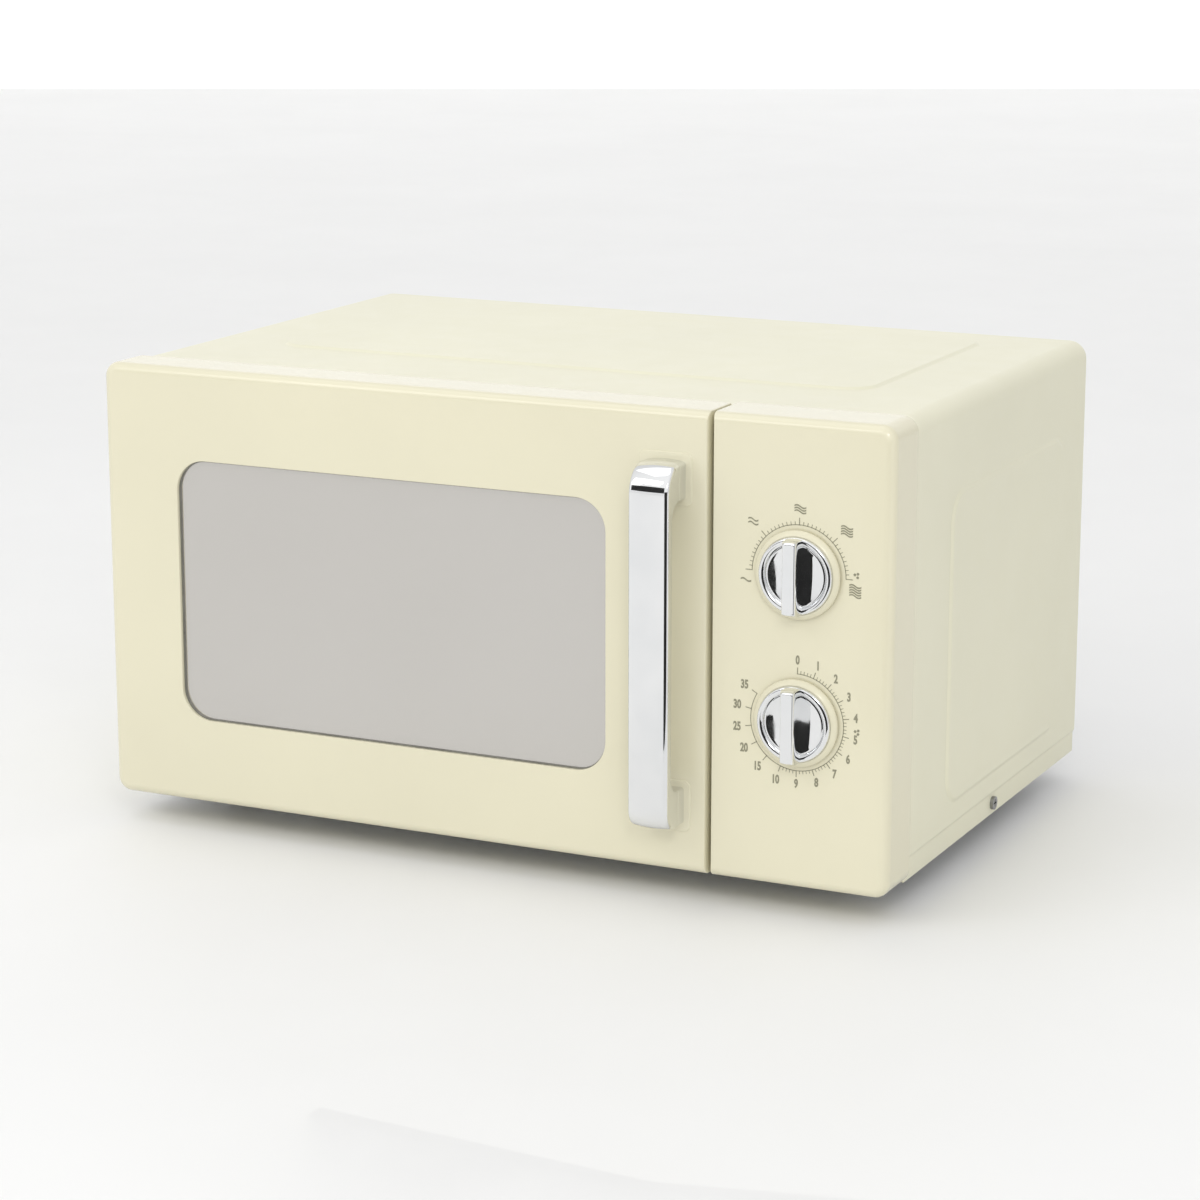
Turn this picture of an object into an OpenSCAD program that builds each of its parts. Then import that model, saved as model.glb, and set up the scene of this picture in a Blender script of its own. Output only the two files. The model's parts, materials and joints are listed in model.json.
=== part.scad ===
// Compact countertop microwave oven with a left-hinged door, a bar handle and two dials.
// Working frame of the modules: X right, Y from the front face to the back, Z up from the lower edge
// of the fronts. placed() then moves every piece so that the feet stand on Z = 0 around X = Y = 0.

/* [Body] */
// Width across the fronts
body_w = 451.5; // [440:0.5:560]
// Height of the fronts
front_h = 238; // [232:0.5:300]
// Depth from the front face to the back of the casing
body_d = 305; // [300:0.5:380]
// Depth of the door and of the control panel
front_d = 28; // [26:0.5:34]
// Gap between the fronts and the casing
seam_gap = 1.4; // [1.2:0.1:3]
// Thickness of the sheet metal
sheet_t = 1; // [0.8:0.1:1.4]
// Thickness of the plastic front faces
face_t = 3; // [2:0.1:3.6]
// Thickness of the plastic side walls
wall_t = 2.5; // [1.6:0.1:3]
// Radius of the fronts' outer corners, seen from the front
corner_r = 8; // [3:0.5:12]
// Radius along the fronts' outer edges
edge_r = 5; // [1:0.5:7]
// Radius along the seam between door and control panel
seam_r = 1.2; // [0.4:0.1:2]
// General clearance between pieces that fit into one another
fit = 0.2; // [0.1:0.05:0.4]

/* [Casing] */
// How far the casing's faces sit inside the outline of the fronts
casing_in = 1.2; // [0.8:0.1:3]
// Radius of the casing's top corners
casing_r = 10; // [4:0.5:16]
// Height of the raised fields pressed into the casing
field_h = 1.2; // [0.4:0.1:2]
// Corner radius of the raised fields
field_r = 18; // [6:0.5:30]
// Distance from the front face to the side fields
side_field_front = 84; // [50:1:110]
// Distance from the side fields to the back of the casing
side_field_back = 38; // [20:1:60]
// Distance from the front face to the top field
top_field_front = 93; // [50:1:120]
// Distance from the top field to the back of the casing
top_field_back = 28; // [20:1:60]
// Distance from the top field to the sides
top_field_side = 50; // [30:1:80]
// Height of the side fields' lower edge
field_low = 24; // [20:1:50]
// Distance from the side fields to the top
field_down = 47; // [25:1:70]
// Height of the stepped strip along the lower edge
step_h = 13; // [11:0.5:18]
// Depth of that step
step_in = 1; // [0.5:0.1:1.5]
// Width of the flange that the casing folds over the rear panel
flange_w = 12; // [10:0.5:16]
// Height of the base plate above the fronts' lower edge
base_z = 1; // [0.5:0.1:2]

/* [Feet] */
// Height of the feet below the fronts' lower edge
foot_h = 16; // [10:0.5:24]
// Radius of a foot
foot_r = 10; // [7:0.5:14]
// Distance from the front face to the front feet
foot_front = 62; // [50:1:80]
// Distance from the rear feet to the back of the casing
foot_back = 40; // [25:1:60]
// Distance from the feet to the sides
foot_side = 44; // [30:1:70]

/* [Cavity] */
// Height of the cavity's floor above the fronts' lower edge
floor_z = 22; // [22:0.5:26]
// Distance from the cavity's ceiling to the fronts' upper edge
roof_room = 16; // [14:0.5:24]
// Distance from the cavity's rear wall to the back of the casing
rear_room = 12.6; // [11:0.2:30]
// Clearance between the door's choke and the hinge bosses
hinge_clear = 0.55; // [0.4:0.05:3]
// Clearance between the door's choke and the latch
latch_clear = 4.3; // [1:0.1:8]
// Radius of the hole in the floor for the turntable drive
drive_hole_r = 9; // [8:0.5:12]

/* [Door] */
// Width of the control panel
panel_w = 95.75; // [92:0.25:116]
// Gap between the door and the control panel
door_gap = 2; // [1:0.1:3]
// Distance from the door's left side to the window
window_left = 45; // [40:0.5:60]
// Distance from the window to the door's right side
window_right = 56.25; // [48:0.25:80]
// Height of the window's lower edge
window_low = 46.5; // [40:0.5:56]
// Distance from the window to the door's upper edge
window_top = 49.2; // [40:0.2:60]
// Corner radius of the window
window_r = 17; // [8:0.5:30]
// How far the window pane reaches under its frame
pane_lap = 8; // [5:0.5:9]
// Thickness of the window pane
pane_t = 3; // [2:0.1:4]
// Distance from the door's left side to the hinge axis
hinge_in = 8.75; // [8.5:0.05:10.5]
// Radius of the hinge pins
pin_r = 2.5; // [2:0.1:3]
// Length of the hinge pins
pin_len = 10; // [8:0.5:10]
// Radial clearance of a pin, shaft or axle that turns in a bore
run_fit = 0.06; // [0.03:0.01:0.09]
// Thickness of the hinge plates
hinge_t = 2; // [1.5:0.1:2.5]
// Distance from the hinge plates to the door's upper and lower edges
hinge_end = 7; // [6:0.5:8]
// Width of the choke channel around the inner door
choke_w = 5; // [3:0.5:5]
// Depth of the choke channel
choke_d = 15; // [10:0.5:16]

/* [Latch] */
// Distance between the two latch hooks
hook_pitch = 120; // [90:1:130]
// Width of a latch hook
hook_w = 11; // [8:0.5:11]
// Height of a latch hook's arm
hook_h = 7; // [5:0.5:8]
// How far the hooks reach behind the door
hook_out = 17; // [14:0.5:20]
// Depth of the barb under a hook's end
barb_h = 3; // [2:0.5:4]
// Travel of the latch
latch_lift = 3.5; // [3:0.5:5]
// Travel of a switch button
button_travel = 1.2; // [0.6:0.1:1.5]

/* [Handle] */
// Distance from the handle's ends to the door's upper and lower edges
handle_end = 25; // [20:0.5:40]
// Width of the handle
handle_w = 22; // [14:0.5:26]
// How far the handle stands out from the door
handle_out = 22; // [20:0.5:40]
// Thickness of the handle's bar
handle_t = 6.5; // [5:0.5:8]
// Height of the handle's two feet
handle_foot = 20; // [14:0.5:24]
// Outer bend radius of the handle
handle_r = 15; // [8:0.5:16]
// Distance from the door's right edge to the handle's centre line
handle_in = 23; // [21:0.5:30]
// Rim of the shallow seat around each handle foot
seat_rim = 3.5; // [2:0.5:5]
// Depth of that seat
seat_d = 1.2; // [0.5:0.1:1.5]

/* [Dials] */
// Distance from the oven's right side to the dial axes
dial_in = 49; // [40:0.5:55]
// Height of the timer dial's axis
timer_z = 86; // [70:0.5:95]
// Distance from the timer dial's axis to the power dial's axis
dial_pitch = 75; // [66:0.5:90]
// Radius of a dial's chrome cap
knob_r = 19.5; // [14:0.5:22]
// Radius of a dial's skirt
skirt_r = 22.4; // [16:0.1:26]
// How far a dial's grip stands out from the panel
knob_out = 14; // [10:0.5:18]
// How far a dial's rim stands out from the panel
rim_out = 6; // [4:0.5:7]
// Width of a dial's grip
grip_w = 8; // [5:0.5:10]
// Gap between a dial and the panel
knob_gap = 0.8; // [0.5:0.1:1.5]
// Radius of the dial shafts
shaft_r = 3; // [2.5:0.1:4]

/* [Turntable] */
// Diameter of the glass turntable
plate_d = 245; // [220:1:250]
// Thickness of the glass turntable
plate_t = 5; // [4:0.5:6]
// Radius of the three rollers
roller_r = 8; // [7:0.5:10]
// Width of a roller
roller_w = 6; // [4:0.5:8]
// Radius of the circle that the rollers run on
track_r = 96; // [80:1:100]
// Width of the roller ring's rail
rail_w = 5; // [4:0.5:7]
// Radius of a roller's axle
axle_r = 2; // [1.5:0.1:2.5]
// Radius of the turntable motor
drive_r = 24; // [20:0.5:27]
// Height of the turntable motor
drive_h = 14; // [12:0.5:16]
// Radius of the coupler's hub
hub_r = 12; // [10:0.5:14]
// Length of the coupler's three arms from the axis
arm_len = 21; // [18:0.5:24]

/* [Microwave source] */
// Width of the waveguide duct, across the cavity wall
guide_w = 19; // [15:0.5:19]
// Length of the waveguide, front to back
guide_l = 80; // [70:1:84]
// Height of the waveguide
guide_h = 96; // [86:1:98]
// Distance from the front face to the waveguide
guide_front = 104; // [100:1:110]
// Side length of the magnetron's yoke
yoke_s = 74; // [66:1:76]
// Depth of the magnetron's yoke along its axis
yoke_d = 50; // [44:1:52]
// Number of cooling fins
fin_n = 7; // [4:1:8]
// Radius of the antenna
antenna_r = 7.5; // [6:0.5:9]
// Length of the antenna
antenna_len = 15; // [10:0.5:16]

/* [Power supply] */
// Width of the transformer core
core_w = 86; // [76:1:90]
// Length of the transformer core's stack
core_l = 46; // [36:1:52]
// Height of the transformer core
core_h = 68; // [56:1:72]
// How far the windings stand out of the core at each end
coil_out = 13; // [8:0.5:15]
// Width of the capacitor's oval can
can_w = 50; // [40:1:54]
// Height of the capacitor's oval can
can_h = 32; // [26:1:36]
// Length of the capacitor's can
can_l = 84; // [70:1:86]
// Radius of the fan
fan_r = 38; // [30:1:40]
// Depth of the fan blades
fan_w = 12; // [8:0.5:14]
// Number of fan blades
blade_n = 5; // [3:1:7]
// Side length of the fan motor's laminated frame
fan_core = 48; // [40:1:52]
// Thickness of that frame
fan_core_t = 15; // [12:0.5:18]

/* [Rear] */
// Height of the cord gland's axis
gland_z = 30; // [24:1:40]
// Radius of the gland's flange
gland_r = 9; // [7:0.5:11]
// How far the gland stands out behind the oven
gland_out = 3; // [2:0.5:6]
// Length of a ventilation slot
slot_l = 16; // [10:0.5:20]
// Width of a ventilation slot
slot_w = 3; // [2:0.5:4]
// Radius of a casing screw's head
screw_head_r = 3.6; // [3:0.1:4.5]
// Height of a casing screw's head
screw_head_h = 1.8; // [1.2:0.1:2.4]
// Radius of a casing screw's shank
screw_r = 1.9; // [1.5:0.1:2.2]

/* [Hidden] */
$fn = 64;

cream = "#e9e4cb";
chrome = "#d8dadc";
zinc = "#b9bcbe";
dark = "#3b3b3d";
copper = "#b5713a";
overlap = 1;                                      // how far a cutting tool runs past the cut face

// Faces of the main assembly
half_w = body_w / 2;
casing_hw = half_w - casing_in;
casing_top = front_h - field_h;
casing_y = front_d + seam_gap;
frame_back = casing_y + sheet_t;
rear_front = body_d - 2 * sheet_t;
inner_hw = casing_hw - sheet_t - fit;
base_hw = inner_hw - step_in;
base_top = base_z + sheet_t;
inner_top = casing_top - sheet_t - fit;
back_y = (body_d + gland_out - handle_out) / 2;   // middle of the overall depth

// Door
door_x0 = -half_w;
door_x1 = half_w - panel_w - door_gap;
panel_x0 = door_x1 + door_gap;
win_x0 = door_x0 + window_left;
win_x1 = door_x1 - window_right;
win_z1 = front_h - window_top;
hinge_x = door_x0 + hinge_in;
hinge_y = front_d - hinge_in;
hinge_arm = hinge_in - 2.5;                       // half width of a hinge plate
boss_r = hinge_in - 2.3;
hinge_tail = -base_hw + sheet_t + fit;            // outer side of a hinge plate's tail
plate_gap = 0.4;                                  // air above and below a hinge plate
lower_plate = hinge_end;
upper_plate = front_h - hinge_end - hinge_t;
cover_t = 2;
screen_y = front_d - cover_t - sheet_t;
choke_out = choke_w + 2 * sheet_t;
choke_y = screen_y - choke_d;

// Latch strip
rib_t = 2;
strip_hw = 7.25;
strip_y0 = 12;
strip_y1 = 20;
strip_y = (strip_y0 + strip_y1) / 2;
hook_x = door_x1 - wall_t - 0.5 - strip_hw;

// Cavity and the door's screen inside its mouth; the choke lies between the hinges and the latch
screen_gap = 3;
cav_x0 = hinge_x + boss_r + hinge_clear + choke_out - screen_gap;
cav_x1 = hook_x - strip_hw - fit - rib_t - latch_clear - choke_out + screen_gap;
cav_y0 = frame_back;
cav_y1 = body_d - rear_room;
cav_top = front_h - roof_room;
bay_x = cav_x1 + sheet_t;                         // left side of the component bay
scr_x0 = cav_x0 + screen_gap;
scr_x1 = cav_x1 - screen_gap;
scr_z0 = floor_z + screen_gap;
scr_z1 = cav_top - screen_gap;

// Latch hooks and switches
hook_low = front_h / 2 - hook_pitch / 2;
hook_high = hook_low + hook_pitch;
hook_tip = front_d + hook_out;
barb_l = 5;
strip_end = 14;                                   // strip above and below the hooks
spring_z = hook_high + strip_end + 0.6;
spring_len = 16;
spring_top = spring_z + spring_len + 1;
slot_side = 1.5;                                  // room on each side of a hook in its slots
slot_end = 1.5;
switch_t = 9;
switch_l = 16;
switch_h = 26;
button_y = hook_tip + 0.5;
switch_y = button_y + 2.6;
switch_hole_y = switch_y + switch_l / 2;
board_x0 = bay_x + 1.5;
board_x1 = hook_x + strip_hw + 4;
board_y1 = switch_y + switch_l + 2;
pair_x = (switch_t + 1) / 2;
low_x = hook_x - pair_x;
high_x = hook_x + pair_x;

// Handle and dials
handle_x = door_x1 - handle_in;
handle_z0 = handle_end;
handle_z1 = front_h - handle_end;
dial_x = half_w - dial_in;
power_z = timer_z + dial_pitch;
housing_y0 = 9;
housing_y1 = 52;
housing_room = 15;                                // between the timer housing and the panel's walls
housing_x0 = panel_x0 + wall_t + housing_room;
housing_x1 = half_w - wall_t - housing_room;
housing_end = 30;                                 // housing above and below the shafts
post_in = 6;                                      // posts inside the housing's outline

// Turntable
spin_x = (cav_x0 + cav_x1) / 2;
spin_y = (cav_y0 + cav_y1) / 2;
axle_z = floor_z + roller_r;
glass_z = floor_z + 2 * roller_r + 0.1;
drive_top = floor_z - sheet_t;
drive_shaft_r = 3.5;
rail_r = track_r - roller_w / 2 - rail_w / 2 - 1.5;

bay_low = 14;                                     // lower edge of the front frame's window for the controls

// Microwave source and supply
guide_x1 = bay_x + guide_w;
guide_z1 = cav_top - 4;
guide_z0 = guide_z1 - guide_h;
guide_y1 = guide_front + guide_l;
tube_y = guide_front + guide_l / 2;
tube_z = guide_z0 + yoke_s / 2 + 1;
yoke_x0 = guide_x1 + 2;
yoke_x1 = yoke_x0 + yoke_d;
filter_d = 26;
core_x = (bay_x + casing_hw) / 2;
core_y = tube_y - 4;
fan_x = core_x;
fan_z = cav_top - 62;
motor_y = rear_front - 8;
bridge_t = 4;                                     // bearing bridges at both ends of the fan motor
fan_y = motor_y - fan_core_t - bridge_t - 1.5 - fan_w;
can_x = casing_hw - can_w / 2 - 6;
can_y = rear_front - 12 - can_l;
can_z = base_top + can_h / 2 + 5;
board_z = base_top + 6;
lamp_y = guide_y1 + 30;
lamp_z = cav_top - 22;

module placed() {
    translate([0, -back_y, foot_h]) children();
}

// Extrusions along the three axes: the outline is drawn in the plane of the other two
module along_x(a, b) {
    translate([a, 0, 0]) rotate([90, 0, 90]) linear_extrude(b - a) children();
}
module along_y(a, b) {
    translate([0, b, 0]) rotate([90, 0, 0]) linear_extrude(b - a) children();
}
module along_z(a, b) {
    translate([0, 0, a]) linear_extrude(b - a) children();
}
module block(low, high) {
    translate(low) cube(high - low);
}
module rod_x(x0, x1, y, z, r) {
    translate([x0, y, z]) rotate([0, 90, 0]) cylinder(h = x1 - x0, r = r);
}
module rod_y(x, y0, y1, z, r) {
    translate([x, y1, z]) rotate([90, 0, 0]) cylinder(h = y1 - y0, r = r);
}
module rod_z(x, y, z0, z1, r) {
    translate([x, y, z0]) cylinder(h = z1 - z0, r = r);
}

// What a rounded corner takes away from a square one
module corner_waste(r) {
    difference() {
        translate([-overlap, -overlap]) square(r + overlap);
        translate([r, r]) circle(r);
    }
}
// Rectangle from (a0, b0) to (a1, b1), with a radius for each corner, anticlockwise from (a0, b0)
module outline(a0, b0, a1, b1, r) {
    difference() {
        translate([a0, b0]) square([a1 - a0, b1 - b0]);
        if (r[0] > 0) translate([a0, b0]) corner_waste(r[0]);
        if (r[1] > 0) translate([a1, b0]) mirror([1, 0]) corner_waste(r[1]);
        if (r[2] > 0) translate([a1, b1]) mirror([1, 0]) mirror([0, 1]) corner_waste(r[2]);
        if (r[3] > 0) translate([a0, b1]) mirror([0, 1]) corner_waste(r[3]);
    }
}
module rounded(a0, b0, a1, b1, r) {
    outline(a0, b0, a1, b1, [r, r, r, r]);
}
// Slot with round ends, lying along the first axis
module slot(l, w) {
    square([l - w, w], center = true);
    for (s = [-1, 1]) translate([s * (l - w) / 2, 0]) circle(w / 2, $fn = 24);
}

// Where the casing screws sit: [x, z] on the rear flange
low_screw_z = 40;
high_screw_z = casing_top - 77;
top_screw_x = 60;
function rear_screws() = let (fx = casing_hw - flange_w / 2 - sheet_t, fz = casing_top - flange_w / 2)
    [[-fx, low_screw_z], [-fx, high_screw_z], [fx, low_screw_z], [fx, high_screw_z],
     [-top_screw_x, fz], [top_screw_x, fz]];
side_screw_y = 163;
side_screw_z = 7;

// Section of the casing, in X and Z, with all faces moved inwards
module casing_section(inset, low) {
    w = casing_hw - inset;
    difference() {
        outline(-w, low, w, casing_top - inset, [0, 0, casing_r - inset, casing_r - inset]);
        for (s = [-1, 1]) translate([s * (w - step_in / 2 + overlap / 2), 0])
            square([step_in + overlap, 2 * (step_h + inset)], center = true);
    }
}
module top_field(inset) {
    r = field_r - inset;
    rounded(-half_w + top_field_side + inset, top_field_front + inset, half_w - top_field_side - inset,
            body_d - top_field_back - inset, r);
}
module side_field(inset) {
    r = field_r - inset;
    rounded(side_field_front + inset, field_low + inset, body_d - side_field_back - inset,
            front_h - field_down - inset, r);
}

module outer_casing() {
    color(cream) difference() {
        union() {
            along_y(casing_y, body_d) casing_section(0, base_z);
            along_z(casing_top - sheet_t / 2, casing_top + field_h) top_field(0);
            for (s = [0, 1]) mirror([s, 0, 0])
                along_x(casing_hw - sheet_t / 2, casing_hw + field_h) side_field(0);
        }
        along_y(casing_y - overlap, body_d - sheet_t) casing_section(sheet_t, base_z - overlap);
        along_z(casing_top - 2 * sheet_t, casing_top + field_h - sheet_t) top_field(sheet_t);
        for (s = [0, 1]) mirror([s, 0, 0])
            along_x(casing_hw - 2 * sheet_t, casing_hw + field_h - sheet_t) side_field(sheet_t);
        along_y(body_d - 2 * sheet_t, body_d + overlap)
            translate([-casing_hw + flange_w, base_z - overlap])
                square([2 * (casing_hw - flange_w), casing_top - flange_w - base_z + overlap]);
        for (p = rear_screws()) rod_y(p[0], body_d - 2 * sheet_t, body_d + overlap, p[1], screw_r + fit);
        rod_x(-half_w, half_w, side_screw_y, side_screw_z, screw_r + fit);
    }
}

foot_x = half_w - foot_side;
function foot_places() = [for (x = [-foot_x, foot_x], y = [foot_front, body_d - foot_back]) [x, y]];
foot_stem_r = 3;

module base_plate() {
    lip = step_h - base_z - fit;
    color(zinc) difference() {
        union() {
            block([-base_hw, frame_back, base_z], [base_hw, rear_front, base_top]);
            for (s = [0, 1]) mirror([s, 0, 0])
                block([base_hw - sheet_t, frame_back, base_z], [base_hw, rear_front, base_z + lip]);
        }
        for (p = foot_places()) rod_z(p[0], p[1], base_z - overlap, base_top + overlap, foot_stem_r);
        rod_z(spin_x, spin_y, base_z - overlap, base_top + overlap, drive_r + 4);
        rod_x(-half_w, half_w, side_screw_y, side_screw_z, screw_r + fit);
        for (i = [-2:2], j = [0:2])
            along_z(base_z - overlap, base_top + overlap)
                translate([core_x + i * (slot_l + 4), foot_front + foot_r + 6 + j * 8]) slot(slot_l, slot_w);
    }
}

module rear_panel() {
    color(zinc) difference() {
        block([-inner_hw, rear_front, base_z], [inner_hw, body_d - sheet_t, inner_top]);
        for (s = [0, 1]) mirror([s, 0, 0])
            block([base_hw, rear_front - overlap, base_z - overlap],
                  [half_w, body_d, step_h + sheet_t + fit]);
        translate([0, 0, inner_top]) for (s = [0, 1]) mirror([s, 0, 0])
            along_y(rear_front - overlap, body_d) translate([inner_hw, 0]) rotate(180)
                corner_waste(casing_r);
        for (p = rear_screws()) rod_y(p[0], rear_front - overlap, body_d, p[1], screw_r + fit);
        rod_y(gland_x(), rear_front - overlap, body_d, gland_z, gland_r - 2);
        for (i = [0:3], j = [0:8])
            along_y(rear_front - overlap, body_d)
                translate([fan_x + (i - 1.5) * (slot_l + 4), fan_z + (j - 4) * 7]) slot(slot_l, slot_w);
        for (i = [0:4], j = [0:3])
            along_y(rear_front - overlap, body_d)
                translate([spin_x + (i - 2) * (slot_l + 6), cav_top - 30 + (j - 2) * 8])
                    slot(slot_l, slot_w);
    }
}
function gland_x() = bay_x + 18;

module front_frame() {
    frame_hw = inner_hw;
    color(zinc) difference() {
        along_y(casing_y, frame_back)
            outline(-frame_hw, base_z, frame_hw, inner_top, [0, 0, casing_r, casing_r]);
        for (s = [0, 1]) mirror([s, 0, 0])
            block([base_hw, casing_y - overlap, -overlap],
                  [half_w, frame_back + overlap, step_h + sheet_t + fit]);
        block([cav_x0, casing_y - overlap, floor_z], [cav_x1, frame_back + overlap, cav_top]);
        block([panel_x0 + 8, casing_y - overlap, bay_low],
              [half_w - 14, frame_back + overlap, front_h - bay_low]);
        for (z = [hook_low, hook_high]) hook_slot(z, casing_y - overlap, frame_back + overlap);
        for (z = [lower_plate, upper_plate])
            block([hinge_tail - fit, casing_y - overlap, z - fit],
                  [hinge_x + hinge_arm + fit, frame_back + overlap, z + hinge_t + fit]);
    }
}
module hook_slot(z, y0, y1) {
    block([hook_x - hook_w / 2 - slot_side, y0, z - hook_h / 2 - barb_h - slot_end],
          [hook_x + hook_w / 2 + slot_side, y1, z + hook_h / 2 + latch_lift + slot_end]);
}

port_y = guide_l / 2 - 12;
port_h = 44;
module cavity() {
    color("#e4e2da") difference() {
        block([cav_x0 - sheet_t, cav_y0, floor_z - sheet_t],
              [cav_x1 + sheet_t, cav_y1 + sheet_t, cav_top + sheet_t]);
        block([cav_x0, cav_y0 - overlap, floor_z], [cav_x1, cav_y1, cav_top]);
        rod_z(spin_x, spin_y, floor_z - 2 * sheet_t, floor_z + overlap, drive_hole_r);
        block([cav_x1 - overlap, tube_y - port_y, guide_z1 - port_h - 6],
              [cav_x1 + 2 * sheet_t, tube_y + port_y, guide_z1 - 6]);
        for (i = [-2:2], j = [-2:2])
            rod_x(cav_x1 - overlap, cav_x1 + 2 * sheet_t, lamp_y + i * 5, lamp_z + j * 5, 1.5);
        for (i = [0:5], j = [0:2])
            rod_x(cav_x0 - 2 * sheet_t, cav_x0 + overlap, cav_y0 + 30 + i * 6, cav_top - 30 + j * 6, 1.5);
    }
}

module feet() {
    color("#2c2c2e") for (p = foot_places()) translate([p[0], p[1], 0]) {
        translate([0, 0, -foot_h]) cylinder(h = foot_h + base_z, r1 = foot_r - 1.5, r2 = foot_r);
        translate([0, 0, base_z]) cylinder(h = sheet_t + 0.5, r = foot_stem_r);
        translate([0, 0, base_top + 0.5]) cylinder(h = 3, r1 = foot_stem_r + 0.8, r2 = foot_stem_r - 1);
    }
}

// Pan-head screw along +Y with a cross recess; the head's underside is at the origin
module screw(l) {
    difference() {
        rotate([90, 0, 0]) cylinder(h = screw_head_h, r = screw_head_r);
        for (a = [0, 90]) rotate([0, a, 0])
            translate([-2, -screw_head_h - overlap, -0.4]) cube([4, overlap + 1, 0.8]);
    }
    rotate([-90, 0, 0]) cylinder(h = l, r = screw_r);
}
module casing_screws() {
    color("#d9dadb") {
        for (p = rear_screws()) translate([p[0], body_d, p[1]]) rotate([0, 0, 180]) screw(8);
        for (s = [0, 1]) mirror([s, 0, 0])
            translate([casing_hw - step_in, side_screw_y, side_screw_z]) rotate([0, 0, 90]) screw(7);
    }
}

// Block with the depth of the fronts and rounded front edges and corners; radii are left, right
module front_block(x0, x1, corners, edges, back_r) {
    intersection() {
        along_z(0, front_h) outline(x0, 0, x1, front_d, [edges[0], edges[1], 0, back_r]);
        along_x(x0 - overlap, x1 + overlap)
            outline(0, 0, front_d + overlap, front_h, [edge_r, 0, 0, edge_r]);
        along_y(-overlap, front_d + overlap)
            outline(x0, 0, x1, front_h, [corners[0], corners[1], corners[1], corners[0]]);
    }
}

tab_hw = 8;                                       // half width and thickness of the panel's tabs
tab_t = 2;
rib_end = 28;                                     // ribs inside the panel's upper and lower edges
module control_panel() {
    color(cream) {
        difference() {
            front_block(panel_x0, half_w, [0, corner_r], [seam_r, edge_r], 0);
            along_y(face_t, front_d + overlap)
                outline(panel_x0 + wall_t, wall_t, half_w - wall_t, front_h - wall_t,
                        [1, corner_r - 2, corner_r - 2, 1]);
            for (z = [timer_z, power_z]) rod_y(dial_x, -overlap, face_t + overlap, z, shaft_r + 1.5);
        }
        // Posts that carry the timer housing
        for (x = [housing_x0 + post_in, housing_x1 - post_in],
             z = [timer_z - housing_end + post_in, power_z + housing_end - post_in])
            rod_y(x, face_t, housing_y0, z, 4);
        // Tabs that hook into the front frame
        for (s = [0, 1]) translate([dial_x, 0, s * front_h]) mirror([0, 0, s]) {
            block([-tab_hw, front_d - 6, wall_t / 2], [tab_hw, front_d, bay_low + fit + tab_t]);
            block([-tab_hw, front_d - 1, bay_low + fit], [tab_hw, frame_back + 1.5, bay_low + fit + tab_t]);
        }
        // Stiffening ribs
        for (z = [rib_end, front_h - rib_end])
            block([panel_x0 + wall_t, face_t, z - 1], [half_w - wall_t, front_d - 6, z + 1]);
    }
}

module hinge_boss(z0, z1) {
    rod_z(hinge_x, hinge_y, z0, z1, boss_r);
    block([door_x0 + wall_t / 2, hinge_y - boss_r, z0], [hinge_x, hinge_y + boss_r, z1]);
}
module door_frame() {
    seat_x = handle_w / 2 + seat_rim;
    color(cream) difference() {
        union() {
            difference() {
                front_block(door_x0, door_x1, [corner_r, 0], [edge_r, seam_r], hinge_in);
                along_y(face_t, front_d + overlap)
                    outline(door_x0 + wall_t, wall_t, door_x1 - wall_t, front_h - wall_t,
                            [corner_r - 2, 1, 1, corner_r - 2]);
            }
            hinge_boss(lower_plate + hinge_t + plate_gap, lower_plate + hinge_t + pin_len + 1);
            hinge_boss(upper_plate - pin_len - 1, upper_plate - plate_gap);
            // Posts that the inner cover rests on
            for (x = [scr_x0 + 8, (scr_x0 + scr_x1) / 2, scr_x1],
                 z = [scr_z0 - choke_out - 6, scr_z1 + choke_out + 5])
                rod_y(x, face_t - 1, screen_y + sheet_t, z, 3);
            // Stop above the latch spring
            block([hook_x - strip_hw, face_t - 1, spring_top], [door_x1 - 1, strip_y1, spring_top + 2]);
            // Rib that guides the latch
            block([hook_x - strip_hw - fit - rib_t, face_t, hook_low - 22],
                  [hook_x - strip_hw - fit, strip_y1, hook_high + 22]);
            // Frame that holds the pane
            along_y(face_t, face_t + pane_t) difference() {
                rounded(win_x0 - pane_lap - rib_t, window_low - pane_lap - rib_t,
                        win_x1 + pane_lap + rib_t, win_z1 + pane_lap + rib_t, 6);
                rounded(win_x0 - pane_lap - fit, window_low - pane_lap - fit,
                        win_x1 + pane_lap + fit, win_z1 + pane_lap + fit, 4);
            }
        }
        along_y(-overlap, face_t + overlap) rounded(win_x0, window_low, win_x1, win_z1, window_r);
        rod_z(hinge_x, hinge_y, 0, lower_plate + hinge_t + pin_len + 0.5, pin_r + run_fit);
        rod_z(hinge_x, hinge_y, upper_plate - pin_len - 0.5, upper_plate + hinge_t, pin_r + run_fit);
        for (z = [lower_plate, upper_plate])
            block([door_x0 - overlap, hinge_y - hinge_arm - 2, z - plate_gap],
                  [hinge_x + hinge_arm + 0.5, front_d + overlap, z + hinge_t + plate_gap]);
        for (z = [handle_z0 - seat_rim, handle_z1 + seat_rim - handle_foot - 2 * seat_rim])
            along_y(-overlap, seat_d)
                rounded(handle_x - seat_x, z, handle_x + seat_x, z + handle_foot + 2 * seat_rim, seat_rim);
        for (z = handle_screw_z()) rod_y(handle_x, -overlap, face_t + overlap, z, screw_r + fit);
    }
}
function handle_screw_z() = [handle_z0 + handle_foot / 2, handle_z1 - handle_foot / 2];

module door_window() {
    color("#b9b5ae", 0.6) along_y(face_t, face_t + pane_t)
        rounded(win_x0 - pane_lap, window_low - pane_lap, win_x1 + pane_lap, win_z1 + pane_lap, 4);
}

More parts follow.
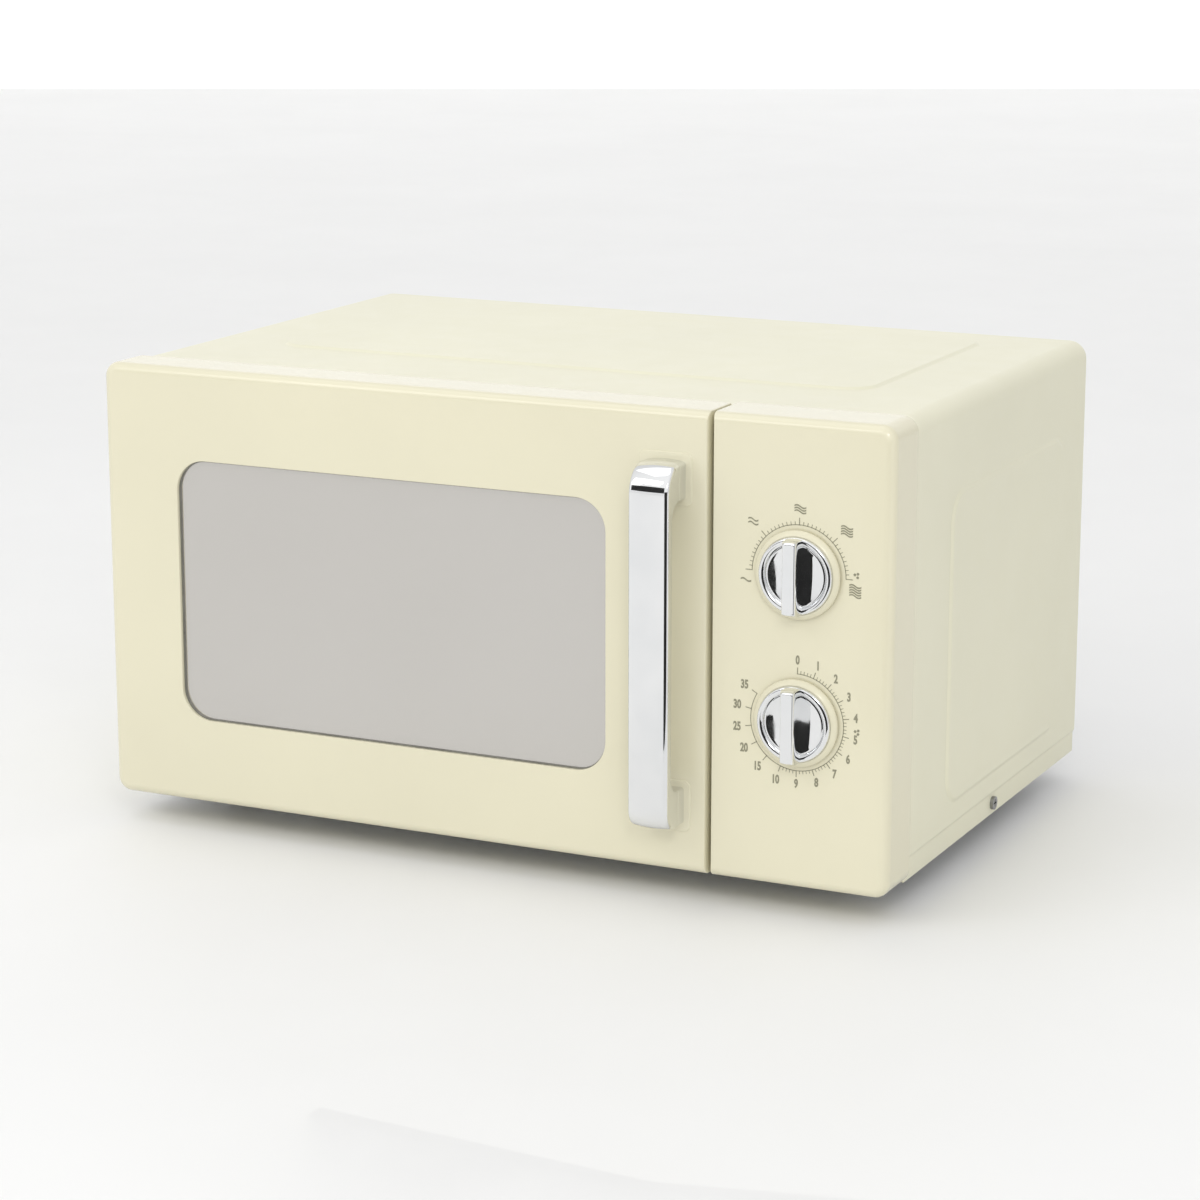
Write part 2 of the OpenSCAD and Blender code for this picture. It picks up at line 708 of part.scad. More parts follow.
module frame_2d(a0, b0, a1, b1, w) {
    difference() {
        translate([a0 - w, b0 - w]) square([a1 - a0 + 2 * w, b1 - b0 + 2 * w]);
        translate([a0, b0]) square([a1 - a0, b1 - b0]);
    }
}
module door_inner_panel() {
    color("#d8d6cc") difference() {
        union() {
            along_y(screen_y, screen_y + sheet_t)
                translate([scr_x0 - sheet_t, scr_z0 - sheet_t])
                    square([scr_x1 - scr_x0 + 2 * sheet_t, scr_z1 - scr_z0 + 2 * sheet_t]);
            along_y(choke_y, screen_y) frame_2d(scr_x0, scr_z0, scr_x1, scr_z1, sheet_t);
            along_y(choke_y, choke_y + sheet_t) frame_2d(scr_x0, scr_z0, scr_x1, scr_z1, choke_out);
            along_y(choke_y, screen_y - 2) difference() {
                frame_2d(scr_x0, scr_z0, scr_x1, scr_z1, choke_out);
                frame_2d(scr_x0, scr_z0, scr_x1, scr_z1, choke_out - sheet_t);
                translate([scr_x0 - overlap, scr_z0 - overlap])
                    square([scr_x1 - scr_x0 + 2 * overlap, scr_z1 - scr_z0 + 2 * overlap]);
            }
        }
        // Slits that divide the choke's outer wall into fingers
        for (x = [scr_x0 + 10:24:scr_x1])
            for (z = [scr_z0 - choke_out - overlap, scr_z1 + choke_out - sheet_t - overlap])
                block([x, choke_y + 4, z], [x + 3, screen_y, z + sheet_t + 2 * overlap]);
        for (z = [scr_z0 + 10:24:scr_z1])
            for (x = [scr_x0 - choke_out - overlap, scr_x1 + choke_out - sheet_t - overlap])
                block([x, choke_y + 4, z], [x + sheet_t + 2 * overlap, screen_y, z + 3]);
    }
}

cover_lap = 4;                                    // how far the cover laps over the screen's edge
module door_choke_cover() {
    color("#d9d4bb") difference() {
        along_y(screen_y + sheet_t, front_d) difference() {
            outline(hinge_x + boss_r + 1, wall_t + fit, door_x1 - wall_t - fit, front_h - wall_t - fit,
                    [1, 1, 1, 1]);
            rounded(scr_x0 + cover_lap, scr_z0 + cover_lap, scr_x1 - cover_lap, scr_z1 - cover_lap, 6);
        }
        for (z = [hook_low, hook_high]) hook_slot(z, screen_y, front_d + overlap);
        for (z = [lower_plate, upper_plate])
            block([door_x0, screen_y, z - plate_gap],
                  [hinge_x + hinge_arm + 0.5, front_d + overlap, z + hinge_t + plate_gap]);
    }
}

module door_handle() {
    inner_r = handle_r - handle_t;
    front = -handle_out;
    color(chrome) difference() {
        intersection() {
            along_x(handle_x - handle_w / 2, handle_x + handle_w / 2) difference() {
                outline(front, handle_z0, seat_d, handle_z1, [handle_r, 0, 0, handle_r]);
                outline(front + handle_t, handle_z0 + handle_foot, seat_d + overlap,
                        handle_z1 - handle_foot, [inner_r, 0, 0, inner_r]);
            }
            along_z(0, front_h) outline(handle_x - handle_w / 2, front, handle_x + handle_w / 2, seat_d,
                                        [2, 2, 0, 0]);
            along_y(front - overlap, seat_d + overlap)
                rounded(handle_x - handle_w / 2, handle_z0, handle_x + handle_w / 2, handle_z1, 2.5);
        }
        for (z = handle_screw_z()) rod_y(handle_x, seat_d - 12, seat_d + overlap, z, screw_r);
    }
}
module handle_screws() {
    color("#c9cacb") for (z = handle_screw_z())
        translate([handle_x, face_t, z]) mirror([0, 1, 0]) screw(face_t - seat_d + 11);
}

module latch_hooks() {
    tip0 = hook_tip - barb_l;
    color("#e8e8e4") {
        block([hook_x - strip_hw, strip_y0, hook_low - strip_end],
              [hook_x + strip_hw, strip_y1, hook_high + strip_end]);
        for (z = [hook_low, hook_high])
            along_x(hook_x - hook_w / 2, hook_x + hook_w / 2)
                polygon([[strip_y1 - overlap, z - hook_h / 2], [tip0, z - hook_h / 2],
                         [tip0, z - hook_h / 2 - barb_h], [hook_tip - 2, z - hook_h / 2 - barb_h],
                         [hook_tip, z - hook_h / 2], [hook_tip, z + hook_h / 2],
                         [strip_y1 - overlap, z + hook_h / 2]]);
        // Post that the spring sits on
        rod_z(hook_x, strip_y, hook_high + strip_end, hook_high + strip_end + 4, 2);
    }
}

// Points of a coil of round wire and the faces between its rings
function ring_pts(c, e, n, wire, sides) = [for (k = [0:sides - 1]) let (a = 360 * k / sides)
    c + wire * (cos(a) * e + sin(a) * n)];
module coil(r, wire, turns, length) {
    sides = 8;
    steps = 14 * turns;
    pts = [for (i = [0:steps]) let (a = 360 * turns * i / steps, e = [cos(a), sin(a), 0])
        each ring_pts([r * cos(a), r * sin(a), length * i / steps], e, [0, 0, 1], wire, sides)];
    faces = concat(
        [for (i = [0:steps - 1], k = [0:sides - 1]) let (k2 = (k + 1) % sides)
            [i * sides + k, (i + 1) * sides + k, (i + 1) * sides + k2, i * sides + k2]],
        [[for (k = [0:sides - 1]) k]],
        [[for (k = [sides - 1:-1:0]) steps * sides + k]]);
    polyhedron(points = pts, faces = faces);
}
module latch_spring() {
    color("#9a9da0") translate([hook_x, strip_y, spring_z]) coil(3.2, 0.4, 7, spring_len);
}

// Plate with a pin on the hinge axis and a flange behind the front frame, from z = low to z = high;
// up is +1 where the pin points up
module hinge(z, up, low, high) {
    color(zinc) {
        along_z(z, z + hinge_t) {
            translate([hinge_x, hinge_y]) circle(hinge_arm);
            translate([hinge_tail, hinge_y]) square([hinge_x + hinge_arm - hinge_tail, frame_back - hinge_y]);
        }
        block([hinge_tail, frame_back, low], [hinge_x + hinge_arm, frame_back + hinge_t, high]);
        if (up > 0) rod_z(hinge_x, hinge_y, z + hinge_t - 0.5, z + hinge_t + pin_len, pin_r);
        if (up < 0) rod_z(hinge_x, hinge_y, z - pin_len, z + 0.5, pin_r);
    }
}
module lower_hinge() {
    hinge(lower_plate, 1, base_top + 0.5, lower_plate + hinge_t + 10);
}
module upper_hinge() {
    hinge(upper_plate, -1, upper_plate - 10, upper_plate + hinge_t);
}

// The switches' two pins: how far from the middle, and their radius
switch_hole_dy = 4;
switch_hole_dz = 10;
switch_pin_r = 1.4;
module latch_board() {
    z0 = hook_low - 32;
    z1 = hook_high + 24;
    color("#dedbd0") difference() {
        union() {
            block([board_x0, frame_back, z0], [board_x1, frame_back + 2.5, z1]);
            block([board_x0, frame_back, z0], [board_x0 + 2, board_y1, z1]);
            // Pins that carry the switches
            for (p = [[hook_high, hook_x], [hook_low, high_x]], s = [-1, 1])
                rod_x(board_x0 + 1, p[1] + switch_t / 2, switch_hole_y + s * switch_hole_dy,
                      p[0] - s * switch_hole_dz, switch_pin_r);
            // Catches under the hooks
            for (z = [hook_low, hook_high]) let (top = z - hook_h / 2 - barb_h - slot_end)
                block([board_x0, frame_back, top - 4],
                      [hook_x + hook_w / 2 + slot_side, hook_tip - 4, top]);
        }
        for (z = [hook_low, hook_high]) hook_slot(z, frame_back - overlap, frame_back + 3);
    }
}

// Microswitch body with two fixing holes; its button comes out of the -Y face
button_hw = 1.5;
button_hh = 2;
module microswitch(x, z) {
    difference() {
        block([x - switch_t / 2, switch_y, z - switch_h / 2],
              [x + switch_t / 2, switch_y + switch_l, z + switch_h / 2]);
        for (s = [-1, 1])
            rod_x(x - switch_t, x + switch_t, switch_hole_y + s * switch_hole_dy,
                  z - s * switch_hole_dz, switch_pin_r + 0.1);
        block([x - button_hw - fit, switch_y - overlap, z - button_hh - fit],
              [x + button_hw + fit, switch_y + 3.6, z + button_hh + fit]);
    }
    for (s = [-1, 0, 1])
        block([x - 3, switch_y + switch_l, z + s * 9 - 0.4],
              [x + 3, switch_y + switch_l + 7, z + s * 9 + 0.4]);
}
module switch_button(x, z) {
    block([x - button_hw, button_y, z - button_hh], [x + button_hw, switch_y + 2, z + button_hh]);
}
module primary_switch() color("#2f3032") microswitch(hook_x, hook_high);
module monitor_switch() color("#7a2f2a") microswitch(high_x, hook_low);
module secondary_switch() color("#2f3032") microswitch(low_x, hook_low);
module primary_button() color("#c8402f") switch_button(hook_x, hook_high);
module monitor_button() color("#d9d9d6") switch_button(high_x, hook_low);
module secondary_button() color("#c8402f") switch_button(low_x, hook_low);

// Dial: a chrome cap with a raised rim and a bar grip, its axis along Y at the origin
module knob_cap() {
    face = -rim_out + 2;
    difference() {
        union() {
            rotate([90, 0, 0]) rotate_extrude() polygon([[0, knob_gap + 1], [knob_r - 1, knob_gap + 1],
                [knob_r, knob_gap + 2], [knob_r, rim_out - 1.5], [knob_r - 1.5, rim_out],
                [knob_r - 3, rim_out], [knob_r - 4.5, -face], [0, -face]]);
            intersection() {
                block([-grip_w / 2, -knob_out, -knob_r], [grip_w / 2, face, knob_r]);
                rotate([90, 0, 0]) cylinder(h = knob_out, r = knob_r - 0.4);
                along_x(-grip_w, grip_w) outline(-knob_out, -knob_r, 0, knob_r, [3, 0, 0, 3]);
                along_z(-knob_r, knob_r) outline(-grip_w / 2, -knob_out, grip_w / 2, 0, [1.2, 1.2, 0, 0]);
            }
        }
        rod_y(0, -knob_out + 4, 0, 0, shaft_r);
    }
}
module knob_skirt() {
    rotate([90, 0, 0]) rotate_extrude() polygon([[knob_r + 0.02, knob_gap], [skirt_r, knob_gap],
        [skirt_r, knob_gap + 1.6], [skirt_r - 0.8, knob_gap + 2.6], [knob_r + 0.6, rim_out - 1.8],
        [knob_r + 0.02, rim_out - 1.8]]);
    rotate([90, 0, 0]) rotate_extrude() polygon([[shaft_r + 0.3, knob_gap], [knob_r + 0.02, knob_gap],
        [knob_r + 0.02, knob_gap + 1], [shaft_r + 0.3, knob_gap + 1]]);
}
module dial_shaft(end) {
    rod_y(0, -knob_out + 4.5, end, 0, shaft_r);
}
module at_dial(z) {
    translate([dial_x, 0, z]) children();
}
module power_knob() color(chrome) at_dial(power_z) knob_cap();
module power_knob_skirt() color(cream) at_dial(power_z) knob_skirt();
module power_shaft() color("#e3e3df") at_dial(power_z) dial_shaft(housing_y0 + 16);
module timer_knob() color(chrome) at_dial(timer_z) knob_cap();
module timer_knob_skirt() color(cream) at_dial(timer_z) knob_skirt();
module timer_shaft() color("#e3e3df") at_dial(timer_z) dial_shaft(housing_y0 + 22);

module timer_housing() {
    color("#b4b6b4") difference() {
        union() {
            along_y(housing_y0, housing_y1)
                rounded(housing_x0, timer_z - housing_end, housing_x1, power_z + housing_end, 4);
            rod_y(hammer_x, housing_y1 - 1, housing_y1 + 5, hammer_pivot_z, 1.5);
        }
        rod_y(dial_x, housing_y0 - overlap, housing_y0 + 17, power_z, shaft_r + run_fit);
        rod_y(dial_x, housing_y0 - overlap, housing_y0 + 23, timer_z, shaft_r + run_fit);
    }
}
timer_motor_r = 22;
module timer_motor() {
    color(zinc) {
        rod_y(dial_x, housing_y1, housing_y1 + 13, timer_z, timer_motor_r);
        rod_y(dial_x, housing_y1 + 13, housing_y1 + 15, timer_z, 4);
        block([dial_x - 26, housing_y1, timer_z - 3], [dial_x + 26, housing_y1 + 1.2, timer_z + 3]);
    }
}
bell_r = 15;
bell_z = power_z + 4;
module timer_bell() {
    y = housing_y1 + 3;
    color(chrome) {
        translate([dial_x - 8, y, bell_z]) rotate([-90, 0, 0]) rotate_extrude() difference() {
            translate([0, -2]) intersection() {
                circle(bell_r);
                square([bell_r, bell_r]);
            }
            translate([-overlap, -2]) intersection() {
                circle(bell_r - 1);
                translate([0, -overlap]) square([bell_r, bell_r]);
            }
        }
        rod_y(dial_x - 8, housing_y1, y + bell_r - 2.5, bell_z, 2);
    }
}
hammer_x = dial_x + 20;
hammer_pivot_z = bell_z - 22;
module bell_hammer() {
    y0 = housing_y1 + 2;
    color("#8f9295") {
        along_y(y0, y0 + 1.5) difference() {
            union() {
                translate([hammer_x, hammer_pivot_z]) circle(4);
                translate([hammer_x - 1.5, hammer_pivot_z]) square([3, 20]);
            }
            translate([hammer_x, hammer_pivot_z]) circle(1.5 + run_fit);
        }
        rod_y(hammer_x, y0, y0 + 5, hammer_pivot_z + 21, 3.4);
    }
}

module turntable_motor() {
    color(zinc) difference() {
        union() {
            rod_z(spin_x, spin_y, drive_top - drive_h, drive_top, drive_r);
            along_z(drive_top - 1.2, drive_top) translate([spin_x, spin_y]) {
                square([2 * drive_r + 16, 9], center = true);
            }
        }
        rod_z(spin_x, spin_y, drive_top - 8, drive_top + overlap, drive_shaft_r + run_fit);
    }
}
module turntable_coupler() {
    color("#e6e4dc") translate([spin_x, spin_y, 0]) {
        rod_z(0, 0, drive_top - 7.5, floor_z + 4, drive_shaft_r);
        rod_z(0, 0, floor_z + 1, glass_z - 1, hub_r - 4);
        rod_z(0, 0, floor_z + 1, floor_z + 5, hub_r);
        for (a = [0:120:240]) rotate(a) along_z(glass_z - 6, glass_z - 0.6) {
            translate([0, -3]) square([arm_len - 3, 6]);
            translate([arm_len - 3, 0]) circle(3);
        }
    }
}
roller_angles = [-90, 30, 150];
module roller_ring() {
    color("#d6d4cc") translate([spin_x, spin_y, 0]) {
        difference() {
            rod_z(0, 0, axle_z - 3.5, axle_z + 3.5, rail_r + rail_w / 2);
            rod_z(0, 0, axle_z - 4.5, axle_z + 4.5, rail_r - rail_w / 2);
        }
        for (a = roller_angles) rotate(a)
            rod_x(rail_r, track_r + roller_w / 2 + 1.5, 0, axle_z, axle_r);
    }
}
module roller(a) {
    color("#f0eee8") translate([spin_x, spin_y, 0]) rotate(a) difference() {
        rod_x(track_r - roller_w / 2, track_r + roller_w / 2, 0, axle_z, roller_r - 0.05);
        rod_x(track_r - roller_w, track_r + roller_w, 0, axle_z, axle_r + run_fit);
    }
}
module roller_front() roller(roller_angles[0]);
module roller_right() roller(roller_angles[1]);
module roller_left() roller(roller_angles[2]);

lug_r = 2.5;
module glass_turntable() {
    rim_h = 12;
    r = plate_d / 2;
    color("#cfe3e6", 0.5) translate([spin_x, spin_y, glass_z]) {
        rotate_extrude() polygon([[0, 0], [r - 14, 0], [r - 3, 4], [r, rim_h - 3], [r, rim_h], [r - 4, rim_h],
            [r - 6, 8], [r - 16, plate_t], [0, plate_t]]);
        // Lugs that the coupler's arms turn
        for (a = [60:120:300]) rotate(a) translate([arm_len - 4, 0, -4]) cylinder(h = 4.5, r = lug_r);
    }
}

module waveguide() {
    color("#c4c6c7") difference() {
        block([bay_x, guide_front, guide_z0], [guide_x1, guide_y1, guide_z1]);
        block([bay_x - overlap, guide_front + sheet_t, guide_z0 + sheet_t],
              [guide_x1 - sheet_t, guide_y1 - sheet_t, guide_z1 - sheet_t]);
        rod_x(guide_x1 - 2 * sheet_t, guide_x1 + overlap, tube_y, tube_z, antenna_r + 1.5);
    }
}
module waveguide_cover() {
    color("#cfc6ae") along_x(cav_x1 - 0.6, cav_x1)
        rounded(tube_y - port_y - 5, guide_z1 - port_h - 11, tube_y + port_y + 5, guide_z1 - 1, 3);
}
module magnetron() {
    h = yoke_s / 2;
    color("#c9cbcc") {
        difference() {
            block([guide_x1, tube_y - h, tube_z - h], [guide_x1 + 2, tube_y + h, tube_z + h]);
            rod_x(guide_x1 - overlap, guide_x1 + 3, tube_y, tube_z, antenna_r);
        }
        // Yoke, open towards the fan
        difference() {
            block([yoke_x0, tube_y - h, tube_z - h], [yoke_x1, tube_y + h, tube_z + h]);
            block([yoke_x0 + 2, tube_y - h - overlap, tube_z - h + 2],
                  [yoke_x1 - 2, tube_y + h + overlap, tube_z + h - 2]);
            rod_x(yoke_x0 - overlap, yoke_x0 + 3, tube_y, tube_z, 14);
        }
        rod_x(guide_x1 - antenna_len + 2, yoke_x0 + 2, tube_y, tube_z, antenna_r);
        rod_x(yoke_x0 + 2, yoke_x1 - 2, tube_y, tube_z, 19);
        block([yoke_x1, tube_y - h + 8, tube_z - h + 8],
              [yoke_x1 + filter_d, tube_y + h - 8, tube_z + h - 8]);
    }
}
module magnetron_fins() {
    h = yoke_s / 2 - 2 - fit;
    pitch = (yoke_d - 10) / fin_n;
    color("#d5d8da") for (i = [0:fin_n - 1]) translate([yoke_x0 + 6 + i * pitch, 0, 0]) difference() {
        block([0, tube_y - h, tube_z - h], [0.8, tube_y + h, tube_z + h]);
        rod_x(-overlap, overlap + 1, tube_y, tube_z, 19);
    }
}

core_leg = 15;                                    // width of the core's outer legs and yokes
core_tongue = 14;                                 // half width of its middle leg
module transformer_core() {
    color("#6c6a66") difference() {
        block([core_x - core_w / 2, core_y - core_l / 2, base_top],
              [core_x + core_w / 2, core_y + core_l / 2, base_top + core_h]);
        for (s = [-1, 1])
            let (a = core_x + s * core_tongue, b = core_x + s * (core_w / 2 - core_leg))
                block([min(a, b), core_y - core_l, base_top + core_leg],
                      [max(a, b), core_y + core_l, base_top + core_h - core_leg]);
    }
}
module winding(z0, z1) {
    x = core_w / 2 - core_leg - fit;
    y = core_l / 2 + coil_out;
    difference() {
        along_z(z0, z1) translate([core_x, core_y]) rounded(-x, -y, x, y, coil_out);
        block([core_x - core_tongue - fit, core_y - core_l / 2 - fit, z0 - overlap],
              [core_x + core_tongue + fit, core_y + core_l / 2 + fit, z1 + overlap]);
    }
}
module transformer_windings() {
    z0 = base_top + core_leg + fit;
    z1 = base_top + core_h - core_leg - fit;
    mid = (z0 + z1) / 2;
    color(copper) {
        winding(z0, mid - 1);
        winding(mid + 1, z1);
    }
}
module can_outline(w, h) {
    square([w - h, h], center = true);
    for (s = [-1, 1]) translate([s * (w - h) / 2, 0]) circle(h / 2);
}
module capacitor() {
    color("#cfd1d2") {
        along_y(can_y, can_y + can_l) translate([can_x, can_z]) can_outline(can_w, can_h);
        for (s = [-1, 1]) {
            rod_y(can_x + s * 10, can_y - 6, can_y, can_z, 5);
            block([can_x + s * 10 - 3, can_y - 14, can_z - 0.4],
                  [can_x + s * 10 + 3, can_y - 6, can_z + 0.4]);
        }
    }
}
module capacitor_clamp() {
    y = can_y + can_l / 2;
    color(zinc) difference() {
        union() {
            along_y(y - 7, y + 7) translate([can_x, can_z])
                can_outline(can_w + 2 * sheet_t, can_h + 2 * sheet_t);
            block([can_x - can_w / 2 - 13, y - 7, base_top], [can_x - 4, y + 7, base_top + 1.5]);
            block([can_x - 14, y - 7, base_top], [can_x + 14, y + 7, can_z - can_h / 2]);
        }
        along_y(y - 8, y + 8) translate([can_x, can_z]) can_outline(can_w, can_h);
        rod_z(can_x - can_w / 2 - 7, y, base_top - overlap, base_top + 3, 2.2);
    }
}
module high_voltage_diode() {
    x = can_x - can_w / 2 - 22;
    color(dark) {
        rod_y(x, can_y + 8, can_y + 30, base_top + 10, 3);
        rod_y(x, can_y - 6, can_y + 8, base_top + 10, 0.7);
        rod_y(x, can_y + 30, can_y + 36, base_top + 10, 0.7);
        difference() {
            block([x - 4, can_y + 36, base_top], [x + 4, can_y + 37, base_top + 14]);
            rod_y(x, can_y + 35, can_y + 38, base_top + 5, 2);
        }
    }
}

axis_z = fan_z + 5;
rotor_r = 12.4;
module fan_motor() {
    h = fan_core / 2;
    y0 = motor_y - fan_core_t;
    color("#7d7f80") difference() {
        union() {
            difference() {
                block([fan_x - h, y0, fan_z - h], [fan_x + h, motor_y, fan_z + h]);
                rod_y(fan_x, y0 - overlap, motor_y + overlap, axis_z, rotor_r + 0.6);
                block([fan_x - h + 10, y0 - overlap, fan_z - h + 10],
                      [fan_x + h - 10, motor_y + overlap, fan_z - 6]);
            }
            for (y = [y0 - bridge_t, motor_y])
                block([fan_x - h + 2, y, axis_z - 6], [fan_x + h - 2, y + bridge_t, axis_z + 6]);
            // Straps to the rear panel
            for (s = [-1, 1])
                block([fan_x + s * (h - 5) - 3, motor_y, axis_z + 8],
                      [fan_x + s * (h - 5) + 3, rear_front, axis_z + 14]);
        }
        rod_y(fan_x, y0 - 5, motor_y + 5, axis_z, 2 + run_fit);
    }
}
module fan_motor_coil() {
    h = fan_core / 2;
    y0 = motor_y - fan_core_t;
    color(copper) difference() {
        block([fan_x - 12, y0 - 4, fan_z - h - 4], [fan_x + 12, motor_y + 4, fan_z - 8.5]);
        block([fan_x - 13, y0 - fit, fan_z - h - 5], [fan_x + 13, motor_y + fit, fan_z - h + 10 + fit]);
    }
}
// Fan with its shaft and the motor's rotor
module fan_blade() {
    hub = 9;
    blade_t = 1.4;
    blade_tilt = 32;
    y0 = motor_y - fan_core_t;
    color("#3d4146") {
        rod_y(fan_x, fan_y, fan_y + fan_w, axis_z, hub);
        rod_y(fan_x, fan_y + fan_w - 1, motor_y + bridge_t - 0.5, axis_z, 2);
        rod_y(fan_x, y0 + 0.5, motor_y - 0.5, axis_z, rotor_r);
        translate([fan_x, fan_y, axis_z]) rotate([-90, 0, 0])
            for (i = [0:blade_n - 1]) rotate(i * 360 / blade_n) intersection() {
                translate([hub - 2, 0, fan_w / 2]) rotate([blade_tilt, 0, 0])
                    translate([0, -blade_t / 2, -fan_w]) cube([fan_r, blade_t, 2 * fan_w]);
                translate([0, 0, blade_t / 2]) cylinder(h = fan_w - blade_t, r = fan_r);
            }
    }
}
module fan_shroud() {
    h = fan_r + 8;
    z0 = axis_z - h;
    z1 = axis_z + h;
    y1 = fan_y + fan_w - 2;
    color("#d3d5d4") {
        difference() {
            block([fan_x - h, fan_y - 6, z0], [fan_x + h, y1, z1]);
            rod_y(fan_x, fan_y - 7, fan_y + fan_w, axis_z, fan_r + 2);
            block([fan_x - h + 2, fan_y - 4, z0 + 2], [fan_x + h - 2, fan_y + fan_w, z1 - 2]);
        }
        // Arms to the rear panel
        for (s = [-1, 1])
            block([fan_x + s * (h - 1) - 1, y1, z1 - 12], [fan_x + s * (h - 1) + 1, rear_front, z1]);
    }
}

lamp_x = bay_x + 16;
lamp_r = 8;
lamp_neck = 5;
lamp_end = lamp_x + 16;
module oven_lamp() {
    tip = 1.5;                                     // flat end of the bulb, where the glass was sealed
    color("#f2ecd2") translate([lamp_x, lamp_y, lamp_z]) rotate([0, 90, 0]) rotate_extrude()
        intersection() {
            translate([0, tip - lamp_r]) square([lamp_r, lamp_r + lamp_end - lamp_x - tip]);
            union() {
                circle(lamp_r);
                square([lamp_neck, lamp_end - lamp_x]);
            }
        }
}
module lamp_bracket() {
    low = lamp_z - 18;
    color(zinc) {
        block([bay_x, lamp_y - 14, low], [lamp_end, lamp_y + 14, low + sheet_t]);
        block([lamp_end, lamp_y - 14, low], [lamp_end + sheet_t, lamp_y + 14, lamp_z + 10]);
        rod_x(lamp_end + sheet_t, lamp_end + 9, lamp_y, lamp_z, 8);
    }
}
module thermal_cutout() {
    y = guide_front - 22;
    z = guide_z1 - 20;
    color("#4a4a4c") {
        rod_x(bay_x, bay_x + 1, y, z, 9);
        rod_x(bay_x + 1, bay_x + 9, y, z, 7);
        for (s = [-1, 1])
            block([bay_x + 9, y + s * 4 - 2, z - 0.4], [bay_x + 16, y + s * 4 + 2, z + 0.4]);
    }
}
module filter_board() {
    x0 = bay_x + 4;
    x1 = x0 + 34;
    y0 = can_y - 2;
    y1 = y0 + 62;
    color("#4f7a4c") {
        difference() {
            block([x0, y0, board_z], [x1, y1, board_z + 1.6]);
            for (x = [x0 + 4, x1 - 4], y = [y0 + 4, y1 - 4]) rod_z(x, y, board_z - 1, board_z + 3, 1.6);
        }
        for (x = [x0 + 9, x1 - 9], y = [y0 + 9, y1 - 9]) rod_z(x, y, base_top, board_z, 2.5);
        block([x0 + 4, y0 + 12, board_z + 1.6], [x0 + 16, y0 + 38, board_z + 15]);
        rod_z(x1 - 10, y0 + 26, board_z + 1.6, board_z + 14, 8);
        rod_y(x0 + 17, y1 - 14 - 6, y1 - 14 + 12, board_z + 5, 3);
    }
}
module cord_gland() {
    x = gland_x();
    color("#2b2b2d") difference() {
        union() {
            rod_y(x, body_d - sheet_t, body_d + gland_out, gland_z, gland_r);
            rod_y(x, rear_front - 6, body_d - sheet_t, gland_z, gland_r - 2);
            rod_y(x, rear_front - 6, rear_front, gland_z, gland_r - 0.5);
        }
        rod_y(x, rear_front - 7, body_d + gland_out + overlap, gland_z, 3.7);
    }
}

placed() outer_casing();
placed() base_plate();
placed() rear_panel();
placed() front_frame();
placed() cavity();
placed() feet();
placed() casing_screws();
placed() control_panel();
placed() door_frame();
placed() door_window();
placed() door_inner_panel();
placed() door_choke_cover();
placed() door_handle();
placed() handle_screws();
placed() latch_hooks();
placed() latch_spring();
placed() upper_hinge();
placed() lower_hinge();
placed() latch_board();
placed() primary_switch();
placed() monitor_switch();
placed() secondary_switch();
placed() primary_button();
placed() monitor_button();
placed() secondary_button();
placed() power_knob();
placed() power_knob_skirt();
placed() power_shaft();
placed() timer_knob();
placed() timer_knob_skirt();
placed() timer_shaft();
placed() timer_housing();
placed() timer_motor();
placed() timer_bell();
placed() bell_hammer();
placed() turntable_motor();
placed() turntable_coupler();
placed() roller_ring();
placed() roller_front();
placed() roller_left();
placed() roller_right();
placed() glass_turntable();
placed() waveguide();
placed() waveguide_cover();
placed() magnetron();
placed() magnetron_fins();
placed() transformer_core();
placed() transformer_windings();
placed() capacitor();
placed() capacitor_clamp();
placed() high_voltage_diode();
placed() fan_motor();
placed() fan_motor_coil();
placed() fan_blade();
placed() fan_shroud();
placed() oven_lamp();
placed() lamp_bracket();
placed() thermal_cutout();
placed() filter_board();
placed() cord_gland();
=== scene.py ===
"""Compact countertop microwave oven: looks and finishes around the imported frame. Lengths are in metres."""
import json
import math

import bmesh
import bpy
from mathutils import Matrix, Vector


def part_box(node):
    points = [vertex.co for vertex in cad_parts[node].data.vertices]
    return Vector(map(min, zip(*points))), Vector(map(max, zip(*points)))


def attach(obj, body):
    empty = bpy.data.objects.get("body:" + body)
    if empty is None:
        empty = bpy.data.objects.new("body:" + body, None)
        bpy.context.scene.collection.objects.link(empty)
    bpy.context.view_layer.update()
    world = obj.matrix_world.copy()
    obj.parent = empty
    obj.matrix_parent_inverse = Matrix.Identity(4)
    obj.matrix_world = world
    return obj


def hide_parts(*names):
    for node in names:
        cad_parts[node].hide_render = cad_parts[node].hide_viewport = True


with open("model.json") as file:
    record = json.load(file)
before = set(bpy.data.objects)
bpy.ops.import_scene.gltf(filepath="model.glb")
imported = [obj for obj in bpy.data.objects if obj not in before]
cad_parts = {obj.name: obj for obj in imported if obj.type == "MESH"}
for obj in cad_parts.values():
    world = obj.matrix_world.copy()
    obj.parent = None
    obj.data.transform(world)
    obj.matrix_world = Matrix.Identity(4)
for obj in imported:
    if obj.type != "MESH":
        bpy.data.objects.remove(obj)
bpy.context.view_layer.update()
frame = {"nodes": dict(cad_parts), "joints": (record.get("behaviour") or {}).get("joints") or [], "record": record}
NODES = frame["nodes"]
MM = 0.001


